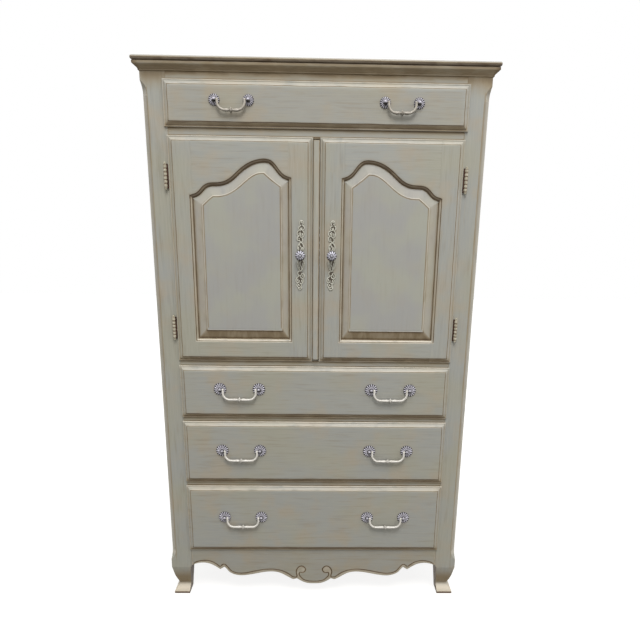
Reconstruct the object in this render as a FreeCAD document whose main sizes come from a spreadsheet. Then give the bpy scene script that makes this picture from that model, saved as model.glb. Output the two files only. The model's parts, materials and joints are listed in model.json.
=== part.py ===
# Television armoire: a painted cabinet with two panelled doors over a television
# compartment, one drawer above them and three below, on short cabriole feet.
#
# Millimetres, +Z up. The front faces -Y, and +X is on the right of a person facing it.
# The origin lies on the floor, under the middle of the bounding box.
import FreeCAD, Part
import math
import os
import Sketcher

# Driving dimensions. A "level" is a height above the floor.
DIMENSIONS = {
    # Case
    "half_width": 515.0,  # middle plane to the outer face of a post
    "face_y": -257.0,  # plane of the front posts' faces
    "back_y": 303.0,  # plane of the back
    "post_width": 73.0,
    "post_depth": 70.0,
    "rear_post": 45.0,
    "rail_thick": 20.0,
    "panel_thick": 18.0,
    "panel_reveal": 4.0,  # side panel behind the posts' outer faces
    "back_thick": 6.0,
    "back_rebate": 15.0,  # back panel into each rear post
    "back_low": 150.0,  # lower edge of the back panel
    # Crown
    "crown_level": 1745.0,
    "crown_top": 1770.0,
    "crown_reach": 16.0,
    "top_thick": 12.0,
    "top_reach": 20.0,
    "top_nose": 5.5,  # rounding of the top board's edges
    # Drawer and door fronts, by the edges of their lips
    "front_half": 446.0,
    "drawer_1_top": 1724.0,
    "drawer_1_low": 1594.0,
    "door_top": 1572.0,
    "door_low": 885.0,
    "drawer_2_top": 868.0,
    "drawer_2_low": 689.0,
    "drawer_3_top": 675.0,
    "drawer_3_low": 453.0,
    "drawer_4_top": 438.0,
    "drawer_4_low": 187.0,
    "lip_overlap": 4.0,  # lip past the edge of its opening
    "lip_thick": 4.0,
    "lip_gap": 0.5,  # lip in front of the face frame
    "edge_width": 16.0,  # moulded edge, from the lip to the flat field
    "field_proud": 12.4,  # flat field in front of the face frame
    "inset_depth": 7.5,  # rebated back of a front, inside its opening
    "inset_gap": 1.0,
    # Drawer boxes and runners
    "box_gap": 4.0,
    "box_thick": 12.0,
    "box_depth": 470.0,
    "box_lift": 1.5,
    "box_headroom": 10.0,
    "bottom_thick": 6.0,
    "bottom_raise": 8.0,
    "groove_depth": 5.0,
    "runner_thick": 14.0,
    "runner_shelf": 20.0,
    "runner_gap": 0.5,  # between a drawer's side and the ledge under it
    "guide_gap": 1.0,
    "guide_height": 32.0,
    # Doors
    "door_gap": 1.0,  # between the astragal and the right door
    "astragal_half": 9.5,
    "astragal_short": 8.0,
    "bottom_rail": 67.0,
    "panel_tongue": 8.0,
    "tongue_thick": 7.0,
    "panel_border": 32.0,
    "catch_x": 30.0,
    "catch_length": 40.0,
    "catch_depth": 26.0,
    "catch_height": 14.0,
    "catch_gap": 1.0,  # behind a closed door
    # Hinges
    "hinge_upper": 1456.0,
    "hinge_lower": 994.0,
    "hinge_x": 455.0,
    "hinge_out": 6.5,  # pin in front of the face frame
    "knuckle_radius": 4.5,
    "pin_radius": 2.2,
    "pin_play": 0.05,  # pin under its bore
    "knuckle_gap": 0.2,
    "hinge_length": 66.0,
    "blade_thick": 1.6,
    "blade_width": 24.0,
    "blade_setback": 0.5,  # door blade behind the pin's own front
    "plate_front": 1.5,  # mortised plate in front of the face frame
    "finial_length": 8.0,
    # Door pulls
    "knob_x": 48.5,
    "knob_level": 1227.0,
    "knob_radius": 16.0,
    "knob_reach": 46.0,  # tip of the knob in front of the face frame
    "plate_width": 33.0,
    "plate_height": 210.0,
    "plate_thick": 2.0,
    # Drawer pulls
    "pull_x": 250.0,
    "pull_1_span": 100.0,
    "pull_1_level": 1668.0,
    "pull_2_span": 128.0,
    "pull_2_level": 791.0,
    "pull_3_level": 573.5,
    "pull_4_level": 322.5,
    "rosette_1_radius": 16.0,
    "rosette_2_radius": 20.5,
    "post_radius": 5.5,
    "eye_out": 10.0,  # bail pivot in front of the drawer's field
    "bail_radius": 2.4,
    "bail_drop": 30.0,
    "bail_bend": 22.0,  # radius of the bar's two bends
    "bail_inset": 10.0,  # bail's upright inside the rosette's centre
    "bead_radius": 4.4,
    "bead_length": 7.0,
    "eye_radius": 3.4,
    "eye_length": 6.4,
    "stub_radius": 1.8,
    "stub_length": 8.0,
    "stub_play": 0.1,  # stub under the bore in its post
    # Compartment and shelf
    "ceiling_thick": 12.0,
    "deck_thick": 18.0,
    "shelf_level": 1430.0,
    "shelf_thick": 18.0,
    "shelf_side_gap": 2.0,
    "shelf_end_gap": 5.0,  # in front of and behind the shelf, inside the posts
    "shelf_nose": 4.0,
    "pin_row_front": 130.0,  # row of pins behind the face frame
    "pin_row_rear": 120.0,  # row of pins in front of the back
    "pin_hole_pitch": 50.0,
    "pin_hole_depth": 9.0,
    "pin_hole_play": 0.05,
    "shelf_pin_radius": 3.5,
    "shelf_pin_out": 12.0,
    "cable_port_radius": 30.0,
    "cable_port_x": 330.0,
    "cable_port_rise": 90.0,  # above the doors' lower edge
    "vent_length": 90.0,
    "vent_height": 10.0,
    "vent_level": 1160.0,
    "vent_span": 150.0,  # from the lowest vent to the highest
    # Foot and apron
    "knee_level": 112.0,
    "apron_end_level": 121.0,
    "side_apron_top": 191.0,
}

DRAWERS = {"1": "top_drawer", "2": "second_drawer", "3": "third_drawer", "4": "bottom_drawer"}
VENT_ROWS = 6
SPARE = 40.0  # how far a cutter or a room for a common reaches past what it works on
NODES = []

doc = FreeCAD.newDocument("tv_armoire")
sheet = doc.addObject("Spreadsheet::Sheet", "Sheet")
for row, (alias, number) in enumerate(DIMENSIONS.items(), start=1):
    sheet.set(f"A{row}", alias)
    sheet.set(f"B{row}", str(number))
    sheet.setAlias(f"B{row}", alias)
doc.recompute()


class Size:
    """A length that knows its number and the sheet formula behind it."""

    def __init__(self, number, formula):
        self.number = number
        self.formula = formula

    def __add__(self, other):
        return Size(self.number + number_of(other), f"({self.formula} + {formula_of(other)})")

    def __sub__(self, other):
        return Size(self.number - number_of(other), f"({self.formula} - {formula_of(other)})")

    def __radd__(self, other):
        return Size(number_of(other) + self.number, f"({formula_of(other)} + {self.formula})")

    def __rsub__(self, other):
        return Size(number_of(other) - self.number, f"({formula_of(other)} - {self.formula})")

    def __mul__(self, factor):
        return Size(self.number * factor, f"({self.formula} * {factor})")

    def __truediv__(self, factor):
        return Size(self.number / factor, f"({self.formula} / {factor})")

    def __neg__(self):
        return Size(-self.number, f"(0 - {self.formula})")


def number_of(size):
    return size.number if isinstance(size, Size) else float(size)


def formula_of(size):
    return size.formula if isinstance(size, Size) else f"({float(size)})"


def dim(alias):
    """The sheet's value under this alias."""
    return Size(float(sheet.get(alias)), "Sheet." + alias)


# ---------------------------------------------------------------- building blocks


def node(item, label):
    """Give a finished sub-part the name of its node."""
    item.Label = label
    NODES.append(item)
    return item


def bind(item, **sizes):
    """Bind properties of an object to the sheet."""
    for name, size in sizes.items():
        item.setExpression(name, formula_of(size))
    return item


def place(item, x=0.0, y=0.0, z=0.0):
    """Bind the place of an object's own origin."""
    for axis, size in zip("xyz", (x, y, z)):
        item.setExpression("Placement.Base." + axis, formula_of(size))
    return item


def board(name, low, high):
    """A plain board between two corners."""
    item = doc.addObject("Part::Box", name)
    bind(item, Length=high[0] - low[0], Width=high[1] - low[1], Height=high[2] - low[2])
    return place(item, *low)


def frustum(name, low, high, inset):
    """A board whose four front edges slope back by the inset."""
    item = doc.addObject("Part::Wedge", name)
    bind(item, Xmin=low[0] + inset, Xmax=high[0] - inset, X2min=low[0], X2max=high[0])
    bind(item, Zmin=low[2] + inset, Zmax=high[2] - inset, Z2min=low[2], Z2max=high[2])
    return bind(item, Ymin=low[1], Ymax=high[1])


def cylinder(name, radius, height, x, y, z):
    """An upright cylinder."""
    item = doc.addObject("Part::Cylinder", name)
    bind(item, Radius=radius, Height=height)
    return place(item, x, y, z)


def cross_cylinder(name, radius, length, x, y, z):
    """A cylinder that lies along X, from its left end."""
    item = cylinder(name, radius, length, x, y, z)
    turn = FreeCAD.Rotation(FreeCAD.Vector(0, 1, 0), 90)
    item.Placement = FreeCAD.Placement(FreeCAD.Vector(), turn)
    return place(item, x, y, z)


def elbow(name, bend, radius, x, y, z, side):
    """A round bar bent by 90 degrees in a plane facing the front, about x and z.

    It runs from straight below its centre to the right of it, or to the left for side -1.
    """
    item = doc.addObject("Part::Torus", name)
    bind(item, Radius1=bend, Radius2=radius, Angle3=90.0)
    into_front = FreeCAD.Rotation(FreeCAD.Vector(1, 0, 0), 90)
    from_side = FreeCAD.Rotation(FreeCAD.Vector(0, 1, 0), 90 if side > 0 else 180)
    item.Placement = FreeCAD.Placement(FreeCAD.Vector(), from_side * into_front)
    return place(item, x, y, z)


def fuse(name, *items):
    item = doc.addObject("Part::MultiFuse", name)
    item.Shapes = list(items)
    return item


def cut(name, base, *tools):
    """The base without its tools."""
    tool = tools[0] if len(tools) == 1 else fuse(name + "_tools", *tools)
    item = doc.addObject("Part::Cut", name)
    item.Base = base
    item.Tool = tool
    return item


def common(name, *items):
    item = doc.addObject("Part::MultiCommon", name)
    item.Shapes = list(items)
    return item


def group(name, *items):
    """Several solids that share one node."""
    item = doc.addObject("Part::Compound", name)
    item.Links = list(items)
    return item


def mirrored(name, source):
    """The left-hand twin of a right-hand piece."""
    item = doc.addObject("Part::Mirroring", name)
    item.Source = source
    item.Normal = (1, 0, 0)
    item.Base = (0, 0, 0)
    return item


class Outline:
    """A closed line of straights, arcs and smooth curves in a sketch's plane."""

    def __init__(self, x, y):
        self.start = self.vector(x, y)
        self.here = self.start
        self.edges = []

    @staticmethod
    def vector(x, y):
        return FreeCAD.Vector(number_of(x), number_of(y), 0)

    def line(self, x, y):
        there = self.vector(x, y)
        self.edges.append(Part.LineSegment(self.here, there))
        self.here = there
        return self

    def arc(self, through, to):
        there = self.vector(*to)
        self.edges.append(Part.Arc(self.here, self.vector(*through), there))
        self.here = there
        return self

    def curve(self, *points):
        stations = [self.here] + [self.vector(*point) for point in points]
        spline = Part.BSplineCurve()
        spline.interpolate(stations)
        self.edges.append(spline)
        self.here = stations[-1]
        return self

    def close(self):
        if self.here.distanceToPoint(self.start) > 1e-6:
            self.line(self.start.x, self.start.y)
        return self.edges


def circle(x, y, radius):
    """A circle in a sketch's plane."""
    return Part.Circle(Outline.vector(x, y), FreeCAD.Vector(0, 0, 1), number_of(radius))


def sketch_on(body, name, role, edges):
    """A sketch of these edges on one of the body's origin planes."""
    sketch = body.newObject("Sketcher::SketchObject", name)
    plane = next(feature for feature in body.Origin.OriginFeatures if feature.Role == role)
    sketch.AttachmentSupport = [(plane, "")]
    sketch.MapMode = "FlatFace"
    sketch.addGeometry(edges, False)
    return sketch


def rectangle_on(body, name, role, low, high):
    """A rectangle sketch whose four sides are held by constraints from the sheet."""
    left, bottom = number_of(low[0]), number_of(low[1])
    right, top = number_of(high[0]), number_of(high[1])
    edges = Outline(left, bottom).line(right, bottom).line(right, top).line(left, top).close()
    sketch = sketch_on(body, name, role, edges)
    for corner in range(4):
        sketch.addConstraint(Sketcher.Constraint("Coincident", corner, 2, (corner + 1) % 4, 1))
    for side, kind in enumerate(("Horizontal", "Vertical", "Horizontal", "Vertical")):
        sketch.addConstraint(Sketcher.Constraint(kind, side))
    held = (
        ("left", "DistanceX", 0, low[0]),
        ("bottom", "DistanceY", 0, low[1]),
        ("right", "DistanceX", 2, high[0]),
        ("top", "DistanceY", 2, high[1]),
    )
    for label, kind, corner, size in held:
        index = sketch.addConstraint(Sketcher.Constraint(kind, -1, 1, corner, 1, number_of(size)))
        sketch.renameConstraint(index, label)
        sketch.setExpression(".Constraints." + label, formula_of(size))
    return sketch


def pad(body, sketch, length, *, reverse=False, both_ways=False):
    """Thicken a sketch by a length from the sheet."""
    feature = body.newObject("PartDesign::Pad", sketch.Name + "_pad")
    feature.Profile = sketch
    feature.Reversed = reverse
    feature.Midplane = both_ways
    sketch.Visibility = False
    return bind(feature, Length=length)


def slab(name, role, edges, length, **how):
    """A body made of one padded outline."""
    body = doc.addObject("PartDesign::Body", name)
    pad(body, sketch_on(body, name + "_outline", role, edges), length, **how)
    return body


def turned(name, role, edges):
    """A body revolved about the vertical axis of its sketch."""
    body = doc.addObject("PartDesign::Body", name)
    sketch = sketch_on(body, name + "_profile", role, edges)
    feature = body.newObject("PartDesign::Revolution", name + "_turning")
    feature.Profile = sketch
    feature.ReferenceAxis = (sketch, ["V_Axis"])
    feature.Angle = 360.0
    return body


# ---------------------------------------------------------------- common places

HALF = dim("half_width")
FACE = dim("face_y")
BACK = dim("back_y")
POST_INNER = HALF - dim("post_width")
SIDE_OUTER = HALF - dim("panel_reveal")
SIDE_INNER = SIDE_OUTER - dim("panel_thick")
CASE_TOP = dim("crown_top")
BACK_INNER = BACK - dim("back_thick")
FIELD_Y = FACE - dim("field_proud")
LIP_BACK = FACE - dim("lip_gap")
LIP_FRONT = LIP_BACK - dim("lip_thick")
INSET_BACK = FACE + dim("inset_depth")


def lip(front, end):
    """Level of a drawer's lip: end is low or top."""
    return dim(f"drawer_{front}_{end}")


# ---------------------------------------------------------------- case

# Cabriole foot, as inset from the post's outer face against level.
FOOT_CURVE = ((3, 98), (7, 77), (13, 57), (18.5, 42), (20, 33), (16.5, 27), (9, 19), (4, 10), (2.6, 4))
SOLE_ROUND = (5, 0)
# Inner edge of the foot, as distance from the same outer face.
FOOT_INNER = ((67.5, 112), (63, 58), (58.7, 0))


def leg_outline(outer, inner, sign):
    """Post with its foot: outer and inner faces along the sketch's first axis."""
    outer = number_of(outer)
    knee = number_of(dim("knee_level"))
    curve = [(outer - sign * inset, level) for inset, level in FOOT_CURVE]
    outline = Outline(inner, CASE_TOP).line(outer, CASE_TOP).line(outer, knee).curve(*curve)
    outline.line(outer - sign * SOLE_ROUND[0], SOLE_ROUND[1])
    for distance, level in reversed(FOOT_INNER):
        outline.line(outer - sign * distance, level)
    outline.line(inner, dim("apron_end_level"))
    return outline.close()


# Corner chamfer of a front post, with a lamb's tongue at its top and a short stop at its foot.
CHAMFER_X = 18.5
CHAMFER_Y = 24.5
TONGUE_LEVELS = (1719.0, 1708.0, 1680.0)
STOP_LEVELS = (178.0, 156.0, 145.0)
TONGUE_SHARE = 0.6  # depth of the tongue at its middle level


def chamfer_cutter(depth):
    """Prism that takes the corner off a post, lying along the chamfer."""
    outline = Outline(-SPARE, TONGUE_LEVELS[0]).line(0, TONGUE_LEVELS[0])
    outline.curve((depth * TONGUE_SHARE, TONGUE_LEVELS[1]), (depth, TONGUE_LEVELS[2]))
    outline.line(depth, STOP_LEVELS[0])
    outline.curve((depth * TONGUE_SHARE, STOP_LEVELS[1]), (0, STOP_LEVELS[2]))
    outline.line(-SPARE, STOP_LEVELS[2])
    width = (CHAMFER_X + CHAMFER_Y) * 2
    cutter = slab("chamfer_cutter", "XZ_Plane", outline.close(), width, both_ways=True)
    turn = math.degrees(math.atan2(CHAMFER_X, -CHAMFER_Y))
    cutter.Placement = FreeCAD.Placement(
        FreeCAD.Vector(), FreeCAD.Rotation(FreeCAD.Vector(0, 0, 1), turn)
    )
    return place(cutter, HALF, FACE, 0)


def hinge_levels():
    return {"upper": dim("hinge_upper"), "lower": dim("hinge_lower")}


def knuckle_spans(level):
    """Top, middle and bottom knuckle of a hinge, as (low, high) levels."""
    half = dim("hinge_length") / 2
    sixth = dim("hinge_length") / 6
    gap = dim("knuckle_gap")
    return {
        "bottom": (level - half, level - sixth - gap),
        "middle": (level - sixth, level + sixth),
        "top": (level + sixth + gap, level + half),
    }


def frame_blade(name, low, high):
    """Blade of a knuckle on the post: it goes straight back into a mortise."""
    half = dim("blade_thick") / 2
    pin_x = dim("hinge_x")
    front = FACE - dim("hinge_out") + dim("pin_radius")
    return board(name, (pin_x - half, front, low), (pin_x + half, FACE + dim("blade_width"), high))


def front_posts():
    """Corner post and cabriole foot in one piece, right-hand one first."""
    front_edges = leg_outline(HALF, POST_INNER, 1)
    front = slab("post_front_view", "XZ_Plane", front_edges, dim("post_depth") * 4, both_ways=True)
    place(front, 0, FACE, 0)
    side_edges = leg_outline(FACE, FACE + dim("post_depth"), -1)
    side = slab("post_side_view", "YZ_Plane", side_edges, HALF + SPARE)
    depth = CHAMFER_X * CHAMFER_Y / math.hypot(CHAMFER_X, CHAMFER_Y)
    squared = common("post_squared", front, side)
    half = dim("hinge_length") / 2
    mortises = [
        frame_plate(f"mortise_{place_name}", level - half, level + half)
        for place_name, level in hinge_levels().items()
    ]
    right = cut("post_right", squared, chamfer_cutter(depth), *mortises)
    node(right, "front_post_right")
    node(mirrored("post_left", right), "front_post_left")


def rear_posts():
    """Square rear posts, rebated for the back panel."""
    inner = HALF - dim("rear_post")
    square = board("rear_square", (inner, BACK - dim("rear_post"), 0), (HALF, BACK, CASE_TOP))
    rebate = board("rear_rebate", (inner - SPARE, BACK_INNER, dim("back_low")),
                   (inner + dim("back_rebate"), BACK + SPARE, CASE_TOP + SPARE))
    right = cut("rear_post_right", square, rebate)
    node(group("rear_post_pair", right, mirrored("rear_post_left", right)), "rear_posts")


PIN_HOLE_STEPS = range(-2, 3)  # holes of a row, counted from the shelf's own


def side_panels():
    """Fixed side panels, bored for the shelf pins."""
    low = (FACE + dim("post_depth"), dim("side_apron_top"))
    high = (BACK - dim("rear_post"), CASE_TOP)
    blank = doc.addObject("PartDesign::Body", "side_panel_body")
    outline = rectangle_on(blank, "side_panel_outline", "YZ_Plane", low, high)
    pad(blank, outline, dim("panel_thick"))
    place(blank, SIDE_INNER, 0, 0)
    radius = dim("shelf_pin_radius") + dim("pin_hole_play")
    holes = []
    for row, hole_y in enumerate(shelf_pin_rows()):
        for count, step in enumerate(PIN_HOLE_STEPS):
            level = dim("shelf_level") - dim("shelf_pin_radius") + dim("pin_hole_pitch") * step
            holes.append(cross_cylinder(f"pin_hole_{row}_{count}", radius, SPARE + dim("pin_hole_depth"),
                                        SIDE_INNER - SPARE, hole_y, level))
    right = cut("side_panel_bored", blank, *holes)
    node(right, "side_panel_right")
    node(mirrored("side_panel_twin", right), "side_panel_left")


def shelf_pin_rows():
    """Depth of the front and the rear row of shelf pins."""
    return (FACE + dim("pin_row_front"), BACK - dim("pin_row_rear"))


# Lower edge of a side apron: distance in from each end against rise above the end's level.
SIDE_APRON_EDGE = ((45.0, 9.0), (95.0, -12.0))
SIDE_APRON_MIDDLE = -34.0


def side_aprons():
    """Shaped rails under the side panels."""
    front_edge = number_of(FACE + dim("post_depth"))
    rear_edge = number_of(BACK - dim("rear_post"))
    top = number_of(dim("side_apron_top"))
    end = number_of(dim("apron_end_level"))
    front_half = [(front_edge + along, end + rise) for along, rise in SIDE_APRON_EDGE]
    rear_half = [(rear_edge - along, end + rise) for along, rise in reversed(SIDE_APRON_EDGE)]
    middle = ((front_edge + rear_edge) / 2, end + SIDE_APRON_MIDDLE)
    outline = Outline(front_edge, top).line(front_edge, end)
    outline.curve(*front_half, middle, *rear_half, (rear_edge, end))
    outline.line(rear_edge, top)
    right = slab("side_apron_right", "YZ_Plane", outline.close(), dim("panel_thick"))
    place(right, SIDE_INNER, 0, 0)
    node(group("side_apron_pair", right, mirrored("side_apron_left", right)), "side_aprons")


def back_panel():
    """Thin back with two cable ports and a row of vent slots behind the television."""
    half = HALF - dim("rear_post") + dim("back_rebate")
    body = doc.addObject("PartDesign::Body", "back_panel_body")
    low = (-half, dim("back_low"))
    pad(body, rectangle_on(body, "back_outline", "XZ_Plane", low, (half, CASE_TOP)), dim("back_thick"))
    port_level = dim("door_low") + dim("cable_port_rise")
    ports = [circle(dim("cable_port_x") * side, port_level, dim("cable_port_radius")) for side in (-1, 1)]
    pocket(body, sketch_on(body, "cable_ports", "XZ_Plane", ports))
    half_vent = dim("vent_length") / 2
    first = dim("vent_level")
    vent = rectangle_on(body, "vent_slot", "XZ_Plane",
                        (-half_vent, first), (half_vent, first + dim("vent_height")))
    slot = pocket(body, vent)
    rows = body.newObject("PartDesign::LinearPattern", "vent_rows")
    rows.Originals = [slot]
    rows.Direction = (vent, ["V_Axis"])
    rows.Occurrences = VENT_ROWS
    bind(rows, Length=dim("vent_span"))
    body.Tip = rows
    place(body, 0, BACK, 0)
    node(body, "back_panel")


def pocket(body, sketch):
    """Cut a sketch right through the body."""
    doc.recompute()
    feature = body.newObject("PartDesign::Pocket", sketch.Name + "_pocket")
    feature.Profile = sketch
    feature.Type = 1
    feature.Midplane = True
    sketch.Visibility = False
    return feature


def rail(name, low, high):
    """Front rail between the posts."""
    return board(name, (-POST_INNER, FACE, low), (POST_INNER, FACE + dim("rail_thick"), high))


def front_rails():
    """Rails of the face frame, each as tall as the lips leave it, plus what they cover."""
    overlap = dim("lip_overlap")
    node(rail("frieze", lip(1, "top") - overlap, CASE_TOP), "top_rail")
    node(rail("rail_1", dim("door_top") - overlap, lip(1, "low") + overlap), "rail_over_doors")
    spans = (
        (lip(2, "top") - overlap, dim("door_low") + overlap),
        (lip(3, "top") - overlap, lip(2, "low") + overlap),
        (lip(4, "top") - overlap, lip(3, "low") + overlap),
    )
    rails = [rail(f"lower_rail_{index}", *span) for index, span in enumerate(spans, start=1)]
    node(group("lower_rail_set", *rails), "lower_rails")


# Lower edge of the apron, as distance from the middle against level: a lobe, a small cusp,
# a long wave up to a second cusp, and the arc that runs into the post.
APRON_LOBE = ((0, 44.6), (26, 46.5), (48, 56), (62, 65.5))
APRON_WAVE = (
    (76, 61.5), (98, 74), (122, 88), (146, 93.7), (176, 92.5), (210, 86), (245, 79.5), (271, 78.2),
    (292, 83), (309, 93), (318, 105), (325.4, 113.5),
)
APRON_END = ((341, 103.3), (360, 117), (380, 127), (402, 130.5), (424, 127.5))


def apron():
    """Shaped bottom rail: its lower edge runs in scrolls to a lobe in the middle."""
    top = lip(4, "low") + dim("lip_overlap")
    edge = number_of(POST_INNER)
    outline = Outline(*APRON_LOBE[0]).curve(*APRON_LOBE[1:])
    outline.line(*APRON_WAVE[0]).curve(*APRON_WAVE[1:])
    outline.line(*APRON_END[0]).curve(*APRON_END[1:], (edge, dim("apron_end_level")))
    outline.line(edge, top)
    outline.line(0, top)
    right = slab("apron_half", "XZ_Plane", outline.close(), dim("rail_thick"), reverse=True)
    place(right, 0, FACE, 0)
    whole = fuse("apron_whole", right, mirrored("apron_twin", right))
    whole.Refine = True
    node(whole, "apron")


# Crown moulding, as reach outward from the case against level: low fillet, ogee, top fillet.
CROWN_LOW = ((3.0, 1745.0), (3.0, 1748.5))
CROWN_OGEE = ((6.0, 1752.5), (12.0, 1757.0), (14.5, 1763.0))
CROWN_FILLET_LEVEL = 1764.0


def crown_profile(origin, sign):
    """Section of the crown, whose reach runs from the origin in the direction of the sign."""
    base = number_of(origin)
    reach = number_of(dim("crown_reach"))
    outline = Outline(base, dim("crown_level"))
    for out, level in CROWN_LOW:
        outline.line(base + sign * out, level)
    outline.curve(*[(base + sign * out, level) for out, level in CROWN_OGEE])
    outline.line(base + sign * reach, CROWN_FILLET_LEVEL)
    outline.line(base + sign * reach, CASE_TOP)
    outline.line(base, CASE_TOP)
    return outline.close()


def crown():
    """Crown moulding in three lengths, mitred at the front corners."""
    long_front = slab("crown_front_length", "YZ_Plane", crown_profile(FACE, -1),
                      (HALF + SPARE) * 2, both_ways=True)
    front_plan = Outline(-HALF, FACE).line(-HALF - SPARE, FACE - SPARE)
    front_plan.line(HALF + SPARE, FACE - SPARE).line(HALF, FACE)
    front_room = slab("crown_front_room", "XY_Plane", front_plan.close(), CASE_TOP)
    side_length = slab("crown_side_length", "XZ_Plane", crown_profile(HALF, 1), BACK - FACE + SPARE)
    place(side_length, 0, BACK, 0)
    side_plan = Outline(HALF, FACE).line(HALF + SPARE, FACE - SPARE)
    side_plan.line(HALF + SPARE, BACK).line(HALF, BACK)
    side_room = slab("crown_side_room", "XY_Plane", side_plan.close(), CASE_TOP)
    front = common("crown_front", long_front, front_room)
    right = common("crown_right", side_length, side_room)
    node(group("crown_set", front, right, mirrored("crown_left", right)), "crown_moulding")


def rounded_board(name, low, high, thick, radius, keep):
    """A board whose long edges are rounded wherever keep(bounding box of the edge) is true."""
    body = doc.addObject("PartDesign::Body", name + "_body")
    blank = pad(body, rectangle_on(body, name + "_outline", "XY_Plane", low, high), thick)
    doc.recompute()
    nose = body.newObject("PartDesign::Fillet", name + "_nose")
    long_edges = [
        f"Edge{index}" for index, edge in enumerate(blank.Shape.Edges, start=1)
        if edge.BoundBox.ZLength < 1.0 and keep(edge.BoundBox)
    ]
    nose.Base = (blank, long_edges)
    return bind(nose, Radius=radius).getParentGeoFeatureGroup()


def top_board():
    """Top board with a bullnose on its front and side edges."""
    half = HALF + dim("top_reach")
    body = rounded_board(
        "top", (-half, FACE - dim("top_reach")), (half, BACK), dim("top_thick"), dim("top_nose"),
        lambda box: box.YMin < number_of(FACE),
    )
    place(body, 0, 0, CASE_TOP)
    node(body, "top_board")


def notched_plan():
    """Plan of a board that fills the case between its posts, side panels and back."""
    front = FACE + dim("rail_thick")
    behind_post = FACE + dim("post_depth")
    rear_post_front = BACK - dim("rear_post")
    rear_inner = HALF - dim("rear_post")
    corners = (
        (POST_INNER, front), (POST_INNER, behind_post), (SIDE_INNER, behind_post),
        (SIDE_INNER, rear_post_front), (rear_inner, rear_post_front), (rear_inner, BACK_INNER),
    )
    outline = Outline(-POST_INNER, front)
    for x, y in corners:
        outline.line(x, y)
    for x, y in reversed(corners[1:]):
        outline.line(-x, y)
    return outline.close()


def decks():
    """Floor and ceiling of the television compartment."""
    deck = slab("deck_board", "XY_Plane", notched_plan(), dim("deck_thick"))
    place(deck, 0, 0, dim("door_low") + dim("lip_overlap") - dim("deck_thick"))
    node(deck, "tv_deck")
    ceiling = slab("ceiling_board", "XY_Plane", notched_plan(), dim("ceiling_thick"))
    place(ceiling, 0, 0, dim("door_top") - dim("lip_overlap"))
    node(ceiling, "compartment_ceiling")


def shelf():
    """Adjustable shelf with a rounded front edge, on four pins."""
    half = SIDE_INNER - dim("shelf_side_gap")
    front = FACE + dim("post_depth") + dim("shelf_end_gap")
    rear = BACK - dim("rear_post") - dim("shelf_end_gap")
    body = rounded_board(
        "shelf", (-half, front), (half, rear), dim("shelf_thick"), dim("shelf_nose"),
        lambda box: box.YMax < 0,
    )
    place(body, 0, 0, dim("shelf_level"))
    node(body, "tv_shelf")
    pins = []
    pin_length = dim("pin_hole_depth") + dim("shelf_pin_out")
    starts = {"right": SIDE_INNER - dim("shelf_pin_out"), "left": -SIDE_INNER - dim("pin_hole_depth")}
    for side, start in starts.items():
        for row, pin_y in enumerate(shelf_pin_rows()):
            level = dim("shelf_level") - dim("shelf_pin_radius")
            pins.append(cross_cylinder(f"shelf_pin_{side}_{row}", dim("shelf_pin_radius"), pin_length,
                                       start, pin_y, level))
    node(group("shelf_pin_set", *pins), "shelf_pins")


def catches():
    """Magnetic catches under the compartment's ceiling, one for each door."""
    high_level = dim("door_top") - dim("lip_overlap")
    front = INSET_BACK + dim("catch_gap")
    low = (dim("catch_x"), front, high_level - dim("catch_height"))
    high = (dim("catch_x") + dim("catch_length"), front + dim("catch_depth"), high_level)
    right = board("catch_right", low, high)
    node(group("catch_pair", right, mirrored("catch_left", right)), "door_catches")


# ---------------------------------------------------------------- drawers


def box_side():
    """Outer face of a drawer box."""
    return POST_INNER - dim("box_gap")


def box_span(front):
    """Lowest and highest level of a drawer box."""
    low = lip(front, "low") + dim("lip_overlap") + dim("box_lift")
    return low, lip(front, "top") - dim("lip_overlap") - dim("box_headroom")


def runners():
    """Two runners for each drawer: a ledge under the drawer's side and a guide beside it."""
    front = FACE + dim("rail_thick")
    behind_post = FACE + dim("post_depth")
    rear_post_front = BACK - dim("rear_post")
    rear_inner = HALF - dim("rear_post")
    ledge_inner = box_side() - dim("runner_shelf")
    solids = []
    for index in DRAWERS:
        plan = Outline(ledge_inner, front).line(POST_INNER, front).line(POST_INNER, behind_post)
        plan.line(SIDE_INNER, behind_post).line(SIDE_INNER, rear_post_front)
        plan.line(rear_inner, rear_post_front).line(rear_inner, BACK_INNER).line(ledge_inner, BACK_INNER)
        ledge = slab(f"ledge_{index}", "XY_Plane", plan.close(), dim("runner_thick"))
        top = box_span(index)[0] - dim("runner_gap")
        place(ledge, 0, 0, top - dim("runner_thick"))
        guide = board(f"guide_{index}", (box_side() + dim("guide_gap"), behind_post, top),
                      (SIDE_INNER, rear_post_front, top + dim("guide_height")))
        right = fuse(f"runner_{index}_right", ledge, guide)
        solids += [right, mirrored(f"runner_{index}_left", right)]
    node(group("runner_set", *solids), "drawer_runners")


def front_blank(name, x_low, x_high, z_low, z_high, inset_x_low, inset_x_high):
    """Lipped front with four moulded edges and a rebated back."""
    overlap = dim("lip_overlap") + dim("inset_gap")
    edge = board(name + "_lip", (x_low, LIP_FRONT, z_low), (x_high, LIP_BACK, z_high))
    back = board(name + "_inset", (inset_x_low, LIP_BACK, z_low + overlap),
                 (inset_x_high, INSET_BACK, z_high - overlap))
    field = frustum(name + "_field", (x_low, FIELD_Y, z_low), (x_high, LIP_FRONT, z_high),
                    dim("edge_width"))
    return fuse(name + "_blank", edge, back, field)


# Dished top of a rosette: share of the rim's radius against height, out to its post.
ROSETTE_RIM = 1.5
ROSETTE_DISH = ((0.72, 4.2), (0.42, 4.6))
ROSETTE_NECK = 6.5
ROSETTE_TIP = 4.0  # post past the bail's axis


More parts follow.
